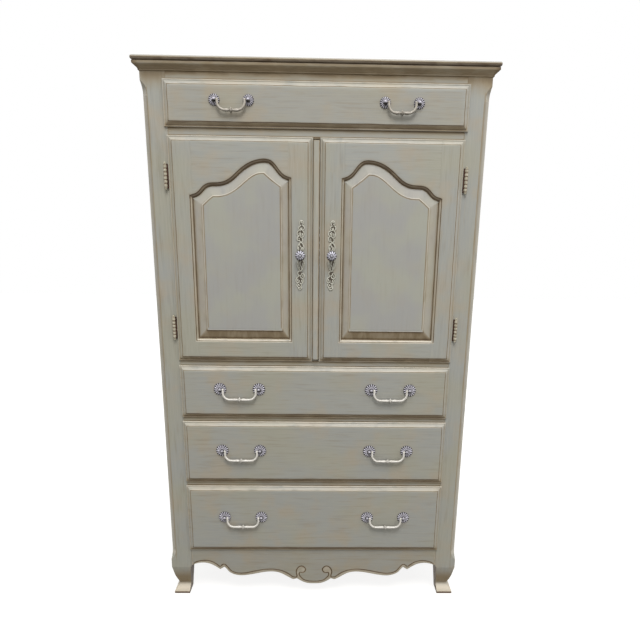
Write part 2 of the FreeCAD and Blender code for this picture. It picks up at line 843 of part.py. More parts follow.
def rosette(name, x, level, radius):
    """Turned rosette with a post, bored across for the end of a bail."""
    tip = -number_of(dim("eye_out") + ROSETTE_TIP)
    rim = number_of(radius)
    post = number_of(dim("post_radius"))
    outline = Outline(0, 0).line(rim, 0).line(rim, -ROSETTE_RIM)
    outline.curve(*[(rim * share, -height) for share, height in ROSETTE_DISH], (post, -ROSETTE_NECK))
    outline.line(post, tip + 2.0)
    outline.arc((post * 0.8, tip + 0.5), (post * 0.35, tip))
    outline.line(0, tip)
    body = turned(name + "_turned", "XY_Plane", outline.close())
    place(body, x, FIELD_Y, level)
    bore = cross_cylinder(name + "_bore", dim("stub_radius") + dim("stub_play"), SPARE * 2,
                          x - SPARE, FIELD_Y - dim("eye_out"), level)
    return cut(name, body, bore)


def bail(name, x, level, span):
    """Drop handle: a bar bent to a flat-bottomed bow, with eyes, end stubs and a middle bead."""
    radius = dim("bail_radius")
    bend = dim("bail_bend")
    eye_y = FIELD_Y - dim("eye_out")
    low = level - dim("bail_drop")
    reach = span / 2 - dim("bail_inset")
    pieces = [
        cross_cylinder(name + "_bar", radius, (reach - bend) * 2, x - reach + bend, eye_y, low),
        cross_cylinder(name + "_bead", dim("bead_radius"), dim("bead_length"),
                       x - dim("bead_length") / 2, eye_y, low),
    ]
    for side, word in ((-1, "left"), (1, "right")):
        eye_x = x + reach * side
        stub_x = eye_x if side > 0 else eye_x - dim("stub_length")
        pieces += [
            elbow(f"{name}_{word}_bend", bend, radius, eye_x - bend * side, eye_y, low + bend, side),
            cylinder(f"{name}_{word}_upright", radius, dim("bail_drop") - bend, eye_x, eye_y, low + bend),
            cross_cylinder(f"{name}_{word}_eye", dim("eye_radius"), dim("eye_length"),
                           eye_x - dim("eye_length") / 2, eye_y, level),
            cross_cylinder(f"{name}_{word}_stub", dim("stub_radius"), dim("stub_length"),
                           stub_x, eye_y, level),
        ]
    return fuse(name, *pieces)


def drawer(index, title):
    """Lipped front, box, bottom and two bail pulls of one drawer."""
    half = dim("front_half")
    inset_half = POST_INNER - dim("inset_gap")
    low, high = lip(index, "low"), lip(index, "top")
    node(front_blank(title, -half, half, low, high, -inset_half, inset_half), title + "_front")

    side = box_side()
    box_low, box_high = box_span(index)
    rear = INSET_BACK + dim("box_depth")
    bottom_low = box_low + dim("bottom_raise")
    bottom_high = bottom_low + dim("bottom_thick")
    bottom_half = side - dim("box_thick") + dim("groove_depth")
    bottom = board(title + "_bottom_board", (-bottom_half, INSET_BACK, bottom_low),
                   (bottom_half, rear, bottom_high))
    box_inner = side - dim("box_thick")
    plank = board(title + "_side", (box_inner, INSET_BACK, box_low), (side, rear, box_high))
    right = cut(title + "_grooved_side", plank, bottom)
    back = board(title + "_back", (-box_inner, rear - dim("box_thick"), bottom_high),
                 (box_inner, rear, box_high))
    node(group(title + "_box_set", right, mirrored(title + "_left_side", right), back), title + "_box")
    node(bottom, title + "_bottom")

    level = dim(f"pull_{index}_level")
    span = dim("pull_1_span" if index == "1" else "pull_2_span")
    radius = dim("rosette_1_radius" if index == "1" else "rosette_2_radius")
    rosettes = []
    for side_name, side_sign in (("left", -1), ("right", 1)):
        pull_x = dim("pull_x") * side_sign
        for end in (-1, 1):
            name = f"{title}_{side_name}_rosette_{end + 1}"
            rosettes.append(rosette(name, pull_x + span / 2 * end, level, radius))
        node(bail(f"{title}_{side_name}_bail", pull_x, level, span), f"{title}_{side_name}_handle")
    node(group(title + "_rosette_set", *rosettes), title + "_rosettes")


# ---------------------------------------------------------------- doors

# Arched head of a door's panel: distance from the middle plane against level. The first
# line is the edge of the frame's flat face, the second that of the raised field.
ARCH = (
    (385, 1402.5), (362, 1411), (343, 1429.5), (328, 1437.5), (300, 1440), (270, 1448), (240, 1472),
    (205, 1497), (163, 1509), (139, 1506), (118, 1486.5), (98, 1465), (75.5, 1456.5),
)
FIELD_ARCH = (
    (347.5, 1373.5), (329, 1391), (315, 1400), (285, 1403.5), (241, 1424.5), (204, 1454.5), (178, 1467),
    (158, 1470), (137, 1453), (107, 1430.5),
)
STICKING = 10.0  # width of the moulding on the frame's inner edge
BEAD_DEPTH = 5.0  # its foot in front of the face frame
FIELD_RAISE = 11.0  # raised field in front of the face frame
PAST_FACE = 0.01  # how far the opening's cutter stands past the frame's flat face
RAIL_SPLIT = 1200.0  # level between what is top rail and what is bottom rail


def moved_arch(amount):
    """The arch moved into the panel by this amount, square to its own line."""
    moved = []
    last = len(ARCH) - 1
    for index, (x, level) in enumerate(ARCH):
        before = ARCH[max(index - 1, 0)]
        after = ARCH[min(index + 1, last)]
        run = after[0] - before[0]
        rise = after[1] - before[1]
        length = math.hypot(run, rise)
        moved.append((x + amount * rise / length, level + amount * run / length))
    moved[0] = (ARCH[0][0] - amount, moved[0][1])
    moved[-1] = (ARCH[-1][0] + amount, moved[-1][1])
    return moved


def panel_outline(arch, low_level):
    """Outline of a panel or opening under an arch."""
    outline = Outline(arch[-1][0], low_level).line(arch[0][0], low_level).line(*arch[0])
    outline.curve(*arch[1:])
    return outline.close()


def loft(body, name, near, far, near_out, far_out):
    """Ruled solid between two outlines that stand this far in front of the face frame."""
    sketches = []
    for part, edges, out in (("near", near, near_out), ("far", far, far_out)):
        sketch = sketch_on(body, f"{name}_{part}", "XZ_Plane", edges)
        sketch.AttachmentOffset = FreeCAD.Placement(FreeCAD.Vector(0, 0, out), FreeCAD.Rotation())
        sketches.append(sketch)
    feature = body.newObject("PartDesign::AdditiveLoft", name)
    feature.Profile = sketches[0]
    feature.Sections = [sketches[1]]
    feature.Ruled = True
    for sketch in sketches:
        sketch.Visibility = False
    return feature


def door_outlines():
    """Edge of the frame's flat face, sight line, tongue and raised field of a door's panel."""
    low_level = number_of(dim("door_low") + dim("bottom_rail"))
    tongue = STICKING - number_of(dim("panel_tongue"))
    return {
        "face": panel_outline(ARCH, low_level),
        "sight": panel_outline(moved_arch(STICKING), low_level + STICKING),
        "tongue": panel_outline(moved_arch(tongue), low_level + tongue),
        "field": panel_outline(FIELD_ARCH, low_level + number_of(dim("panel_border"))),
    }


def raised_panel(name):
    """Door panel: a tongue for the frame's groove, a bevel and a raised field."""
    outlines = door_outlines()
    body = doc.addObject("PartDesign::Body", name)
    tongue = sketch_on(body, name + "_tongue", "XZ_Plane", outlines["tongue"])
    tongue.AttachmentOffset = FreeCAD.Placement(FreeCAD.Vector(0, 0, BEAD_DEPTH), FreeCAD.Rotation())
    pad(body, tongue, dim("tongue_thick"), reverse=True)
    loft(body, name + "_bevel", outlines["sight"], outlines["field"], BEAD_DEPTH, FIELD_RAISE)
    return place(body, 0, FACE, 0)


def opening_cutter(name):
    """What is cut from a door's frame: a sloped moulding, then straight through."""
    outlines = door_outlines()
    body = doc.addObject("PartDesign::Body", name)
    through = sketch_on(body, name + "_through", "XZ_Plane", outlines["sight"])
    through.AttachmentOffset = FreeCAD.Placement(FreeCAD.Vector(0, 0, BEAD_DEPTH), FreeCAD.Rotation())
    pad(body, through, SPARE, reverse=True)
    loft(body, name + "_slope", door_outlines()["sight"], outlines["face"], BEAD_DEPTH,
         number_of(dim("field_proud")) + PAST_FACE)
    return place(body, 0, FACE, 0)


def door_blade(name, low, high):
    """Blade of the middle knuckle: it lies in a mortise in the door's edge."""
    pin_x = dim("hinge_x")
    front = FACE - dim("hinge_out") + dim("pin_radius") + dim("blade_setback")
    return board(name, (pin_x - dim("blade_width") - dim("pin_radius"), front, low),
                 (pin_x, front + dim("blade_thick"), high))


def door_right():
    """Right-hand door: two stiles, arched top rail, bottom rail, panel and fittings."""
    inner = dim("astragal_half") + dim("door_gap")
    outer = dim("front_half")
    low, high = dim("door_low"), dim("door_top")
    gap = dim("inset_gap")
    blank = front_blank("door", inner, outer, low, high, inner + gap, POST_INNER - gap)
    panel = raised_panel("door_panel_body")
    tongue_room = raised_panel("door_tongue_room")
    mortises = []
    for place_name, level in hinge_levels().items():
        mortises.append(door_blade(f"door_mortise_{place_name}", *knuckle_spans(level)["middle"]))
    frame = cut("door_frame", blank, opening_cutter("door_opening"), tongue_room, *mortises)

    stile_in = ARCH[-1][0] + STICKING
    stile_out = ARCH[0][0] - STICKING
    rooms = {
        "inner_stile": ((inner - 1.0, low), (stile_in, high)),
        "outer_stile": ((stile_out, low), (outer + 1.0, high)),
        "top_rail": ((stile_in, RAIL_SPLIT), (stile_out, high)),
        "bottom_rail": ((stile_in, low), (stile_out, RAIL_SPLIT)),
    }
    pieces = {}
    for name, (corner, far) in rooms.items():
        room = board(f"door_room_{name}", (corner[0], FACE - SPARE, corner[1]),
                     (far[0], FACE + SPARE, far[1]))
        pieces[name] = common(f"door_{name}", frame, room)
    stiles = group("door_stile_pair", pieces["inner_stile"], pieces["outer_stile"])
    both_sides(stiles, "door_{}_stiles")
    both_sides(pieces["top_rail"], "door_{}_top_rail")
    both_sides(pieces["bottom_rail"], "door_{}_bottom_rail")
    both_sides(panel, "door_{}_panel")
    both_sides(door_plate(), "door_{}_backplate")
    both_sides(door_knob(), "door_{}_knob")
    both_sides(group("door_leaf_pair", *door_leaves()), "door_{}_hinge_leaves")


def both_sides(right, label):
    """Name a right-hand piece and its mirrored twin."""
    node(right, label.format("right"))
    node(mirrored(right.Name + "_twin", right), label.format("left"))


def astragal():
    """Cover strip fixed to the left door, filling the gap between the doors."""
    half = dim("astragal_half")
    short = dim("astragal_short")
    node(board("astragal_strip", (-half - dim("door_gap"), FIELD_Y, dim("door_low") + short),
               (half, INSET_BACK, dim("door_top") - short)), "door_left_astragal")


# Edge of a backplate's upper half, and its piercings, as shares of half its width and height.
PLATE_EDGE = ((0.95, 0.0), (0.72, 0.28), (1.0, 0.5), (0.7, 0.72), (0.55, 0.88))
PIERCINGS = (-0.72, -0.5, -0.28, 0.28, 0.5, 0.72)
PIERCING_SIZE = 0.3


def door_plate():
    """Long pierced plate behind a knob."""
    half_width = number_of(dim("plate_width")) / 2
    half_height = number_of(dim("plate_height")) / 2
    upper = [(half_width * across, half_height * up) for across, up in PLATE_EDGE]
    right = [(x, -z) for x, z in reversed(upper[1:])] + upper
    left = [(-x, -z) for x, z in right]
    outline = Outline(0, -half_height).curve(*right, (0, half_height))
    outline.curve(*left, (0, -half_height))
    body = doc.addObject("PartDesign::Body", "plate_body")
    pad(body, sketch_on(body, "plate_outline", "XZ_Plane", outline.edges), dim("plate_thick"))
    piercings = [circle(0, half_height * up, half_width * PIERCING_SIZE) for up in PIERCINGS]
    pocket(body, sketch_on(body, "plate_piercings", "XZ_Plane", piercings))
    return place(body, dim("knob_x"), FIELD_Y, dim("knob_level"))


# Knob, from its base outward: radius in millimetres, or as a share of the widest, against reach.
KNOB_FOOT = (8.5, 2.0)
KNOB_STEM = ((5.5, 6.0), (6.5, 11.0))
KNOB_SWELL = ((0.8, 15.0), (1.0, 20.0))


def door_knob():
    """Turned knob on a stem."""
    base = -number_of(dim("field_proud") + dim("plate_thick"))
    tip = -number_of(dim("knob_reach"))
    wide = number_of(dim("knob_radius"))
    outline = Outline(0, base).line(KNOB_FOOT[0], base).line(KNOB_FOOT[0], base - KNOB_FOOT[1])
    stem = [(radius, base - out) for radius, out in KNOB_STEM]
    swell = [(wide * share, base - out) for share, out in KNOB_SWELL]
    outline.curve(*stem, *swell)
    outline.arc((wide * 0.86, tip + 5.5), (wide * 0.55, tip + 1.2)).line(0, tip)
    body = turned("knob_body", "XY_Plane", outline.close())
    return place(body, dim("knob_x"), FACE, dim("knob_level"))


def knuckle(name, low, high):
    """One knuckle of a hinge, bored for the pin."""
    pin_y = FACE - dim("hinge_out")
    return (
        cylinder(name + "_barrel", dim("knuckle_radius"), high - low, dim("hinge_x"), pin_y, low),
        cylinder(name + "_bore", dim("pin_radius"), high - low, dim("hinge_x"), pin_y, low),
    )


def door_leaves():
    """Door leaves: the middle knuckle with its blade."""
    leaves = []
    for place_name, level in hinge_levels().items():
        span = knuckle_spans(level)["middle"]
        barrel, bore = knuckle(f"door_knuckle_{place_name}", *span)
        blade = door_blade(f"door_leaf_blade_{place_name}", *span)
        blank = fuse(f"door_leaf_blank_{place_name}", barrel, blade)
        leaves.append(cut(f"door_leaf_{place_name}", blank, bore))
    return leaves


def frame_leaves():
    """Frame leaves and pins of the four hinges."""
    leaves = []
    pins = []
    for place_name, level in hinge_levels().items():
        half = dim("hinge_length") / 2
        parts = [frame_plate(f"frame_plate_{place_name}", level - half, level + half)]
        bores = []
        for part in ("bottom", "top"):
            span = knuckle_spans(level)[part]
            barrel, bore = knuckle(f"frame_knuckle_{place_name}_{part}", *span)
            parts += [barrel, frame_blade(f"frame_blade_{place_name}_{part}", *span)]
            bores.append(bore)
        right = cut(f"frame_leaf_{place_name}", fuse(f"frame_leaf_blank_{place_name}", *parts), *bores)
        leaves += [right, mirrored(f"frame_leaf_{place_name}_left", right)]
        pin = hinge_pin(f"hinge_pin_{place_name}", level)
        pins += [pin, mirrored(f"hinge_pin_{place_name}_left", pin)]
    node(group("frame_leaf_set", *leaves), "hinge_leaves_frame")
    node(group("hinge_pin_set", *pins), "hinge_pins")


def frame_plate(name, low, high):
    """Mortised part of a frame leaf, along the whole hinge."""
    half = dim("blade_thick") / 2
    pin_x = dim("hinge_x")
    return board(name, (pin_x - half, FACE - dim("plate_front"), low),
                 (pin_x + half, FACE + dim("blade_width"), high))


# Finial of a hinge pin: share of the knuckle's radius against share of the finial's length.
FINIAL = ((1.0, 0.0), (1.0, 0.175), (0.5, 0.325), (0.85, 0.575), (0.45, 0.825), (0.0, 1.0))


def hinge_pin(name, level):
    """Hinge pin with a turned finial at each end."""
    half = number_of(dim("hinge_length")) / 2
    shaft = number_of(dim("pin_radius") - dim("pin_play"))
    head = number_of(dim("knuckle_radius"))
    length = number_of(dim("finial_length"))
    finial = [(head * wide, length * out) for wide, out in FINIAL]
    outline = Outline(0, -half - length)
    for radius, out in reversed(finial[:-1]):
        outline.line(radius, -half - out)
    outline.line(shaft, -half).line(shaft, half)
    for radius, out in finial:
        outline.line(radius, half + out)
    body = turned(name, "XZ_Plane", outline.close())
    return place(body, dim("hinge_x"), FACE - dim("hinge_out"), level)


# ---------------------------------------------------------------- build and write


def build():
    top_board()
    crown()
    front_posts()
    rear_posts()
    side_panels()
    side_aprons()
    back_panel()
    front_rails()
    apron()
    decks()
    shelf()
    runners()
    catches()
    frame_leaves()
    door_right()
    astragal()
    for index, title in DRAWERS.items():
        drawer(index, title)


def check():
    """Stop on a failed feature or a sub-part that is not a sound solid."""
    for item in doc.Objects:
        if "Invalid" in item.State or "Error" in item.State:
            raise RuntimeError(f"{item.Name} failed: {item.State}")
    for item in NODES:
        shape = item.Shape
        if shape.isNull() or not shape.isValid() or not shape.Solids:
            raise RuntimeError(f"{item.Label} is not a valid solid")


def write():
    os.makedirs("parts", exist_ok=True)
    whole = FreeCAD.BoundBox()
    for item in NODES:
        item.Shape.exportStep(f"parts/{item.Label}.step")
        whole.add(item.Shape.BoundBox)
        print(f"{item.Label}: {len(item.Shape.Solids)} solids, {item.Shape.Volume / 1000:.1f} cm3")
    print(f"{len(NODES)} nodes, box {whole}")


build()
doc.recompute()
check()
write()
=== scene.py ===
"""Looks of a painted television armoire: mouldings, brushed and glazed paint, and fittings.

Sizes are in millimetres and turn into metres where a mesh is made. +Z is up, the front faces -Y.
"""

import json
import logging
import math
from collections.abc import Callable, Sequence
from dataclasses import dataclass, field
from enum import Enum

import bmesh
import bpy
from mathutils import Matrix, Vector, noise
from mathutils.geometry import delaunay_2d_cdt, tessellate_polygon


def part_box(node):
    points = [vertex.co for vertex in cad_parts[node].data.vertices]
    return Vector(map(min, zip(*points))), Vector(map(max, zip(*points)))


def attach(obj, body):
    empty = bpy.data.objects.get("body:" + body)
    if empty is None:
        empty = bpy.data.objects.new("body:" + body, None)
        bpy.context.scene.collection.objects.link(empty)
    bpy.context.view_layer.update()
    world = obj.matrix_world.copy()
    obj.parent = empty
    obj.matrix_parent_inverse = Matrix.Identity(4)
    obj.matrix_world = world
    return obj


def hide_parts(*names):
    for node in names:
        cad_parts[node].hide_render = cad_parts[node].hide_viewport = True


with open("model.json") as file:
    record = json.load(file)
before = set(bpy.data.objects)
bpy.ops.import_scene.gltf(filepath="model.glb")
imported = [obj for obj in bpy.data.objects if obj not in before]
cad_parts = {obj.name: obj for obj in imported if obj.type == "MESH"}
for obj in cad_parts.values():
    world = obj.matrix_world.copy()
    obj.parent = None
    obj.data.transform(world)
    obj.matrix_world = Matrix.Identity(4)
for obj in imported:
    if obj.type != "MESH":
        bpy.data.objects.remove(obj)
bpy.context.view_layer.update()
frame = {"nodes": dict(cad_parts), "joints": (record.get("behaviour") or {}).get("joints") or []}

log = logging.getLogger("armoire")
MM = 0.001
Flat = tuple[float, float]


def box_mm(node: str) -> tuple[Vector, Vector]:
    """Corners of a node in millimetres.

    Args:
        node: name of the node.

    Returns:
        Its lowest and its highest corner.
    """
    low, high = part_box(node)
    return low / MM, high / MM


def pivot_mm(body: str) -> Vector:
    """Pivot of a hinged body in millimetres."""
    return next(Vector(joint["pos_m"]) / MM for joint in frame["joints"] if joint["child"] == body)


FACE = box_mm("top_rail")[0].y  # plane of the face frame


# ---------------------------------------------------------------- materials


class Run(Enum):
    """The way that brush strokes or grain run."""

    ACROSS = (1.0, 0.0, 0.0)
    DEEP = (0.0, 1.0, 0.0)
    UP = (0.0, 0.0, 1.0)


def colour(code: str) -> tuple[float, float, float, float]:
    """Linear colour of an sRGB hex code.

    Args:
        code: six hex digits after a hash sign.

    Returns:
        Red, green, blue and an alpha of 1.
    """
    shares = [int(code[i:i + 2], 16) / 255 for i in (1, 3, 5)]
    linear = [s / 12.92 if s <= 0.04045 else ((s + 0.055) / 1.055) ** 2.4 for s in shares]
    return (*linear, 1.0)


def add_node(tree: bpy.types.NodeTree, kind: str, inputs: dict | None = None, **settings) -> bpy.types.Node:
    """Add a node with its settings and links.

    Args:
        tree: the node tree.
        kind: the node's type.
        inputs: values for its sockets by name or number; an output socket is linked.
        settings: values for the node's own properties.

    Returns:
        The node.
    """
    made = tree.nodes.new(kind)
    for name, value in settings.items():
        setattr(made, name, value)
    for name, value in (inputs or {}).items():
        if isinstance(value, bpy.types.NodeSocket):
            tree.links.new(value, made.inputs[name])
        else:
            made.inputs[name].default_value = value
    return made


class Shade:
    """A material being made: patterns of real sizes, and a stack of colours laid over each other."""

    def __init__(self, name: str, ground: str) -> None:
        """Start a material.

        Args:
            name: its name.
            ground: hex code of the colour under all others.
        """
        self.material = bpy.data.materials.new(name)
        self.material.use_nodes = True
        self.tree = self.material.node_tree
        self.tree.nodes.clear()
        self.place = add_node(self.tree, "ShaderNodeTexCoord").outputs["Object"]
        self.base: object = colour(ground)

    def pattern(self, size: float, run: Run | None = None, stretch: float = 1.0, detail: float = 2.0,
                low: float = 0.35, high: float = 0.65, shift: float = 0.0) -> bpy.types.NodeSocket:
        """Noise of a real size, spread over 0 to 1.

        Args:
            size: width of a feature in millimetres.
            run: direction in which it is drawn out.
            stretch: how many times longer than wide.
            detail: octaves.
            low: noise value that becomes 0.
            high: noise value that becomes 1.
            shift: offset in metres, for a pattern of its own.

        Returns:
            The output socket.
        """
        along = run.value if run else (0.0, 0.0, 0.0)
        scale = [(1.0 / stretch if share else 1.0) / (size * MM) for share in along]
        mapping = add_node(self.tree, "ShaderNodeMapping", {
            "Vector": self.place, "Location": (shift, shift * 1.7, shift * 2.3), "Scale": scale})
        cloud = add_node(self.tree, "ShaderNodeTexNoise", {
            "Vector": mapping.outputs[0], "Scale": 1.0, "Detail": detail, "Roughness": 0.55})
        return add_node(self.tree, "ShaderNodeMapRange", {
            "Value": cloud.outputs["Fac"], "From Min": low, "From Max": high},
            interpolation_type="SMOOTHSTEP").outputs[0]

    def coat(self, code: str, where: bpy.types.NodeSocket, most: float = 1.0) -> None:
        """Lay a colour over the ones before.

        Args:
            code: hex code of the colour.
            where: how much of it lies there, from 0 to 1.
            most: how much of it shows where it lies fully.
        """
        share = where
        if most < 1.0:
            share = add_node(self.tree, "ShaderNodeMath", {0: where, 1: most}, operation="MULTIPLY",
                             use_clamp=True).outputs[0]
        self.base = add_node(self.tree, "ShaderNodeMix", {0: share, 6: self.base, 7: colour(code)},
                             data_type="RGBA").outputs[2]

    def finish(self, sheen: tuple[float, float], by: bpy.types.NodeSocket, height: bpy.types.NodeSocket,
               relief: float, **constants: float) -> bpy.types.Material:
        """Close the material with one shader.

        Args:
            sheen: roughness where the pattern is 0 and where it is 1.
            by: pattern that the roughness follows.
            height: pattern that raises the surface.
            relief: how far it is raised, in millimetres.
            constants: values for other sockets of the shader, by name.

        Returns:
            The material.
        """
        rough = add_node(self.tree, "ShaderNodeMapRange", {
            "Value": by, "To Min": sheen[0], "To Max": sheen[1]}, interpolation_type="SMOOTHSTEP")
        bump = add_node(self.tree, "ShaderNodeBump", {
            "Strength": 1.0, "Distance": relief * MM, "Height": height})
        shader = add_node(self.tree, "ShaderNodeBsdfPrincipled", {
            "Base Color": self.base, "Roughness": rough.outputs[0], "Normal": bump.outputs[0], **constants})
        add_node(self.tree, "ShaderNodeOutputMaterial", {0: shader.outputs[0]})
        return self.material


@dataclass(frozen=True)
class GlazedPaint:
    """Chalk paint, brushed one way and wiped with umber glaze: a soft, mottled, streaky matt skin.

    The eye gets greige with cooler and warmer patches, faint strokes along each board, tan and umber
    in every quirk, and pale wood tones where hands and cloth rubbed an arris. The tan and umber also
    paint shade where a piece looks down, and the pale tone paints highlights on ledges and chamfers.
    """

    name: str
    run: Run
    foot: bool = False
    greige: str = "#A19F90"
    blue_grey: str = "#9E9F9A"
    beige: str = "#A89D8A"
    pale_stroke: str = "#B3AFA1"
    dark_stroke: str = "#89806D"
    # Tan and umber are glaze that also paints shade; rubbed is bare wood that also paints highlights.
    tan_and_shade: str = "#8F7B58"
    umber_and_shade: str = "#46341D"
    rubbed_and_highlight: str = "#D4CBBA"
    # Foot: the ankle and sole colours are stain with painted shade, the toe colour wear with a painted
    # highlight.
    ankle: str = "#88775A"
    toe: str = "#DFD3BE"
    sole: str = "#5B412B"
    warmth: float = 0.8  # share of beige
    brushed: float = 0.38  # share of the strokes
    clouds: float = 210.0  # patches of colour, in millimetres
    patches: float = 95.0
    stroke: float = 3.2  # width of a brush stroke's streak
    bristle: float = 1.3  # a bristle's mark is 0.3 mm wide, too fine to show, so it is drawn coarser
    grip: float = 26.0  # how unevenly the glaze kept its hold, in millimetres
    chip: float = 22.0  # size of the spots where paint is rubbed through

    def make(self) -> bpy.types.Material:
        """Build the material."""
        shade = Shade(self.name, self.greige)
        shade.coat(self.blue_grey, shade.pattern(self.clouds, low=0.32, high=0.6))
        warm = shade.pattern(self.patches, detail=3.0, low=0.46, high=0.72, shift=3.1)
        strokes = shade.pattern(self.stroke, self.run, 30.0, 3.0, 0.36, 0.7, shift=1.3)
        wiped = shade.pattern(self.stroke * 2.5, self.run, 14.0, 3.0, 0.5, 0.76, shift=5.7)
        shade.coat(self.beige, warm, self.warmth)
        shade.coat(self.pale_stroke, strokes, self.brushed)
        shade.coat(self.dark_stroke, wiped, self.brushed)
        if self.foot:
            self.stain_and_shade_foot(shade)
        self.lay_glaze_and_shade(shade)
        # The wear mark also holds painted highlights on ledges and chamfers.
        worn_and_highlighted = add_node(shade.tree, "ShaderNodeAttribute", attribute_name="wear_and_highlight")
        spots = shade.pattern(self.chip, self.run, 2.0, 2.0, 0.2, 0.56, shift=9.4)
        rub_through_and_highlight = add_node(shade.tree, "ShaderNodeMath", {0: worn_and_highlighted.outputs["Fac"], 1: spots},
                           operation="MULTIPLY", use_clamp=True)
        shade.coat(self.rubbed_and_highlight, rub_through_and_highlight.outputs[0])
        bristles = shade.pattern(self.bristle, self.run, 70.0, 2.0, 0.2, 0.8, shift=2.2)
        return shade.finish((0.5, 0.66), strokes, bristles, 0.05)

    def lay_glaze_and_shade(self, shade: Shade) -> None:
        """Glaze that was wiped off, tan where it is thin and umber where it stayed in a quirk, and painted
        shade laid the same way.

        Args:
            shade: the material being made.
        """
        tree = shade.tree
        spread = shade.pattern(self.grip, self.run, 3.0, 3.0, 0.25, 0.7, shift=7.9)
        uneven = add_node(tree, "ShaderNodeMapRange", {"Value": spread, "To Min": 0.82, "To Max": 1.1},
                          interpolation_type="SMOOTHSTEP")
        # The glaze mark also holds painted shade where a surface looks down and under what stands over it.
        laid = add_node(tree, "ShaderNodeAttribute", attribute_name="glaze_and_shade")
        left = add_node(tree, "ShaderNodeMath", {0: laid.outputs["Fac"], 1: uneven.outputs[0]},
                        operation="MULTIPLY", use_clamp=True)
        for code, start, full, most in ((self.tan_and_shade, 0.0, 0.7, 0.9), (self.umber_and_shade, 0.3, 1.0, 0.92)):
            share = add_node(tree, "ShaderNodeMapRange", {
                "Value": left.outputs[0], "From Min": start, "From Max": full},
                interpolation_type="SMOOTHSTEP")
            shade.coat(code, share.outputs[0], most)

    def stain_and_shade_foot(self, shade: Shade) -> None:
        """Umber glaze and painted shade in the ankle, rubbed cream and a painted highlight on the toe, and a
        sole darkened by glaze and painted shade, by height.

        Args:
            shade: the material being made.
        """
        tree = shade.tree
        level = add_node(tree, "ShaderNodeSeparateXYZ", {0: shade.place}).outputs["Z"]
        # Each fades in from its first level to its second, in millimetres over the floor.
        upper, lower, toe, sole = (
            add_node(tree, "ShaderNodeMapRange", {
                "Value": level, "From Min": start * MM, "From Max": full * MM},
                interpolation_type="SMOOTHSTEP").outputs[0]
            for start, full in ((116.0, 62.0), (22.0, 46.0), (40.0, 20.0), (9.5, 7.5)))
        ankle = shade.pattern(40.0, Run.UP, 1.6, low=0.0, high=0.5, shift=6.3)
        for share in (upper, lower):
            ankle = add_node(tree, "ShaderNodeMath", {0: ankle, 1: share}, operation="MULTIPLY",
                             use_clamp=True).outputs[0]
        shade.coat(self.ankle, ankle)
        shade.coat(self.toe, toe, 0.85)
        shade.coat(self.sole, sole)


@dataclass(frozen=True)
class SawnWood:
    """Planed softwood or veneer under a thin matt seal: warm straw with darker lines along the board."""

    name: str
    run: Run
    light: str
    dark: str
    ring: float = 9.0  # spacing of growth lines in millimetres
    pore: float = 1.6  # a pore is 0.1 mm wide, too fine to show, so it is drawn coarser
    cloud: float = 90.0
    roughness: float = 0.55

    def make(self) -> bpy.types.Material:
        """Build the material."""
        shade = Shade(self.name, self.light)
        if self.run is Run.DEEP:
            shade.place = self.by_board(shade)
        rings = shade.pattern(self.ring, self.run, 22.0, 3.0, 0.36, 0.62)
        pores = shade.pattern(self.pore, self.run, 30.0, 2.0, 0.5, 0.75, shift=2.4)
        shade.coat(self.dark, rings, 0.6)
        shade.coat(self.dark, pores, 0.35)
        shade.coat(self.light, shade.pattern(self.cloud, self.run, 3.0, shift=4.2), 0.3)
        return shade.finish((self.roughness, self.roughness + 0.12), rings, pores, 0.05)

    @staticmethod
    def by_board(shade: Shade) -> bpy.types.NodeSocket:
        """Coordinates in which the grain also runs along a board that faces front or back.

        Args:
            shade: the material being made.

        Returns:
            The coordinates, with X and Y changed over on such a board.
        """
        tree = shade.tree
        here = add_node(tree, "ShaderNodeSeparateXYZ", {0: shade.place})
        over = add_node(tree, "ShaderNodeCombineXYZ", {
            0: here.outputs["Y"], 1: here.outputs["X"], 2: here.outputs["Z"]})
        way = add_node(tree, "ShaderNodeTexCoord").outputs["Normal"]
        facing = add_node(tree, "ShaderNodeSeparateXYZ", {0: way})
        share = add_node(tree, "ShaderNodeMath", {0: facing.outputs["Y"]}, operation="ABSOLUTE")
        return add_node(tree, "ShaderNodeMix", {0: share.outputs[0], 4: shade.place, 5: over.outputs[0]},
                        data_type="VECTOR").outputs[1]


@dataclass(frozen=True)
class Hardboard:
    """Pressed fibre board, smooth side out: an even brown with flecks of fibre and a dull gleam."""

    name: str = "hardboard"
    brown: str = "#7A5A3C"
    fibre: str = "#5D4228"
    pale: str = "#86664A"
    fleck: float = 3.0  # a fibre is 0.5 mm wide, too fine to show, so it is drawn coarser
    cloud: float = 120.0

    def make(self) -> bpy.types.Material:
        """Build the material."""
        shade = Shade(self.name, self.brown)
        flecks = shade.pattern(self.fleck, detail=4.0, low=0.4, high=0.7)
        shade.coat(self.fibre, flecks)
        shade.coat(self.pale, shade.pattern(self.cloud, low=0.3, high=0.7, shift=3.0), 0.5)
        return shade.finish((0.45, 0.62), flecks, flecks, 0.03)


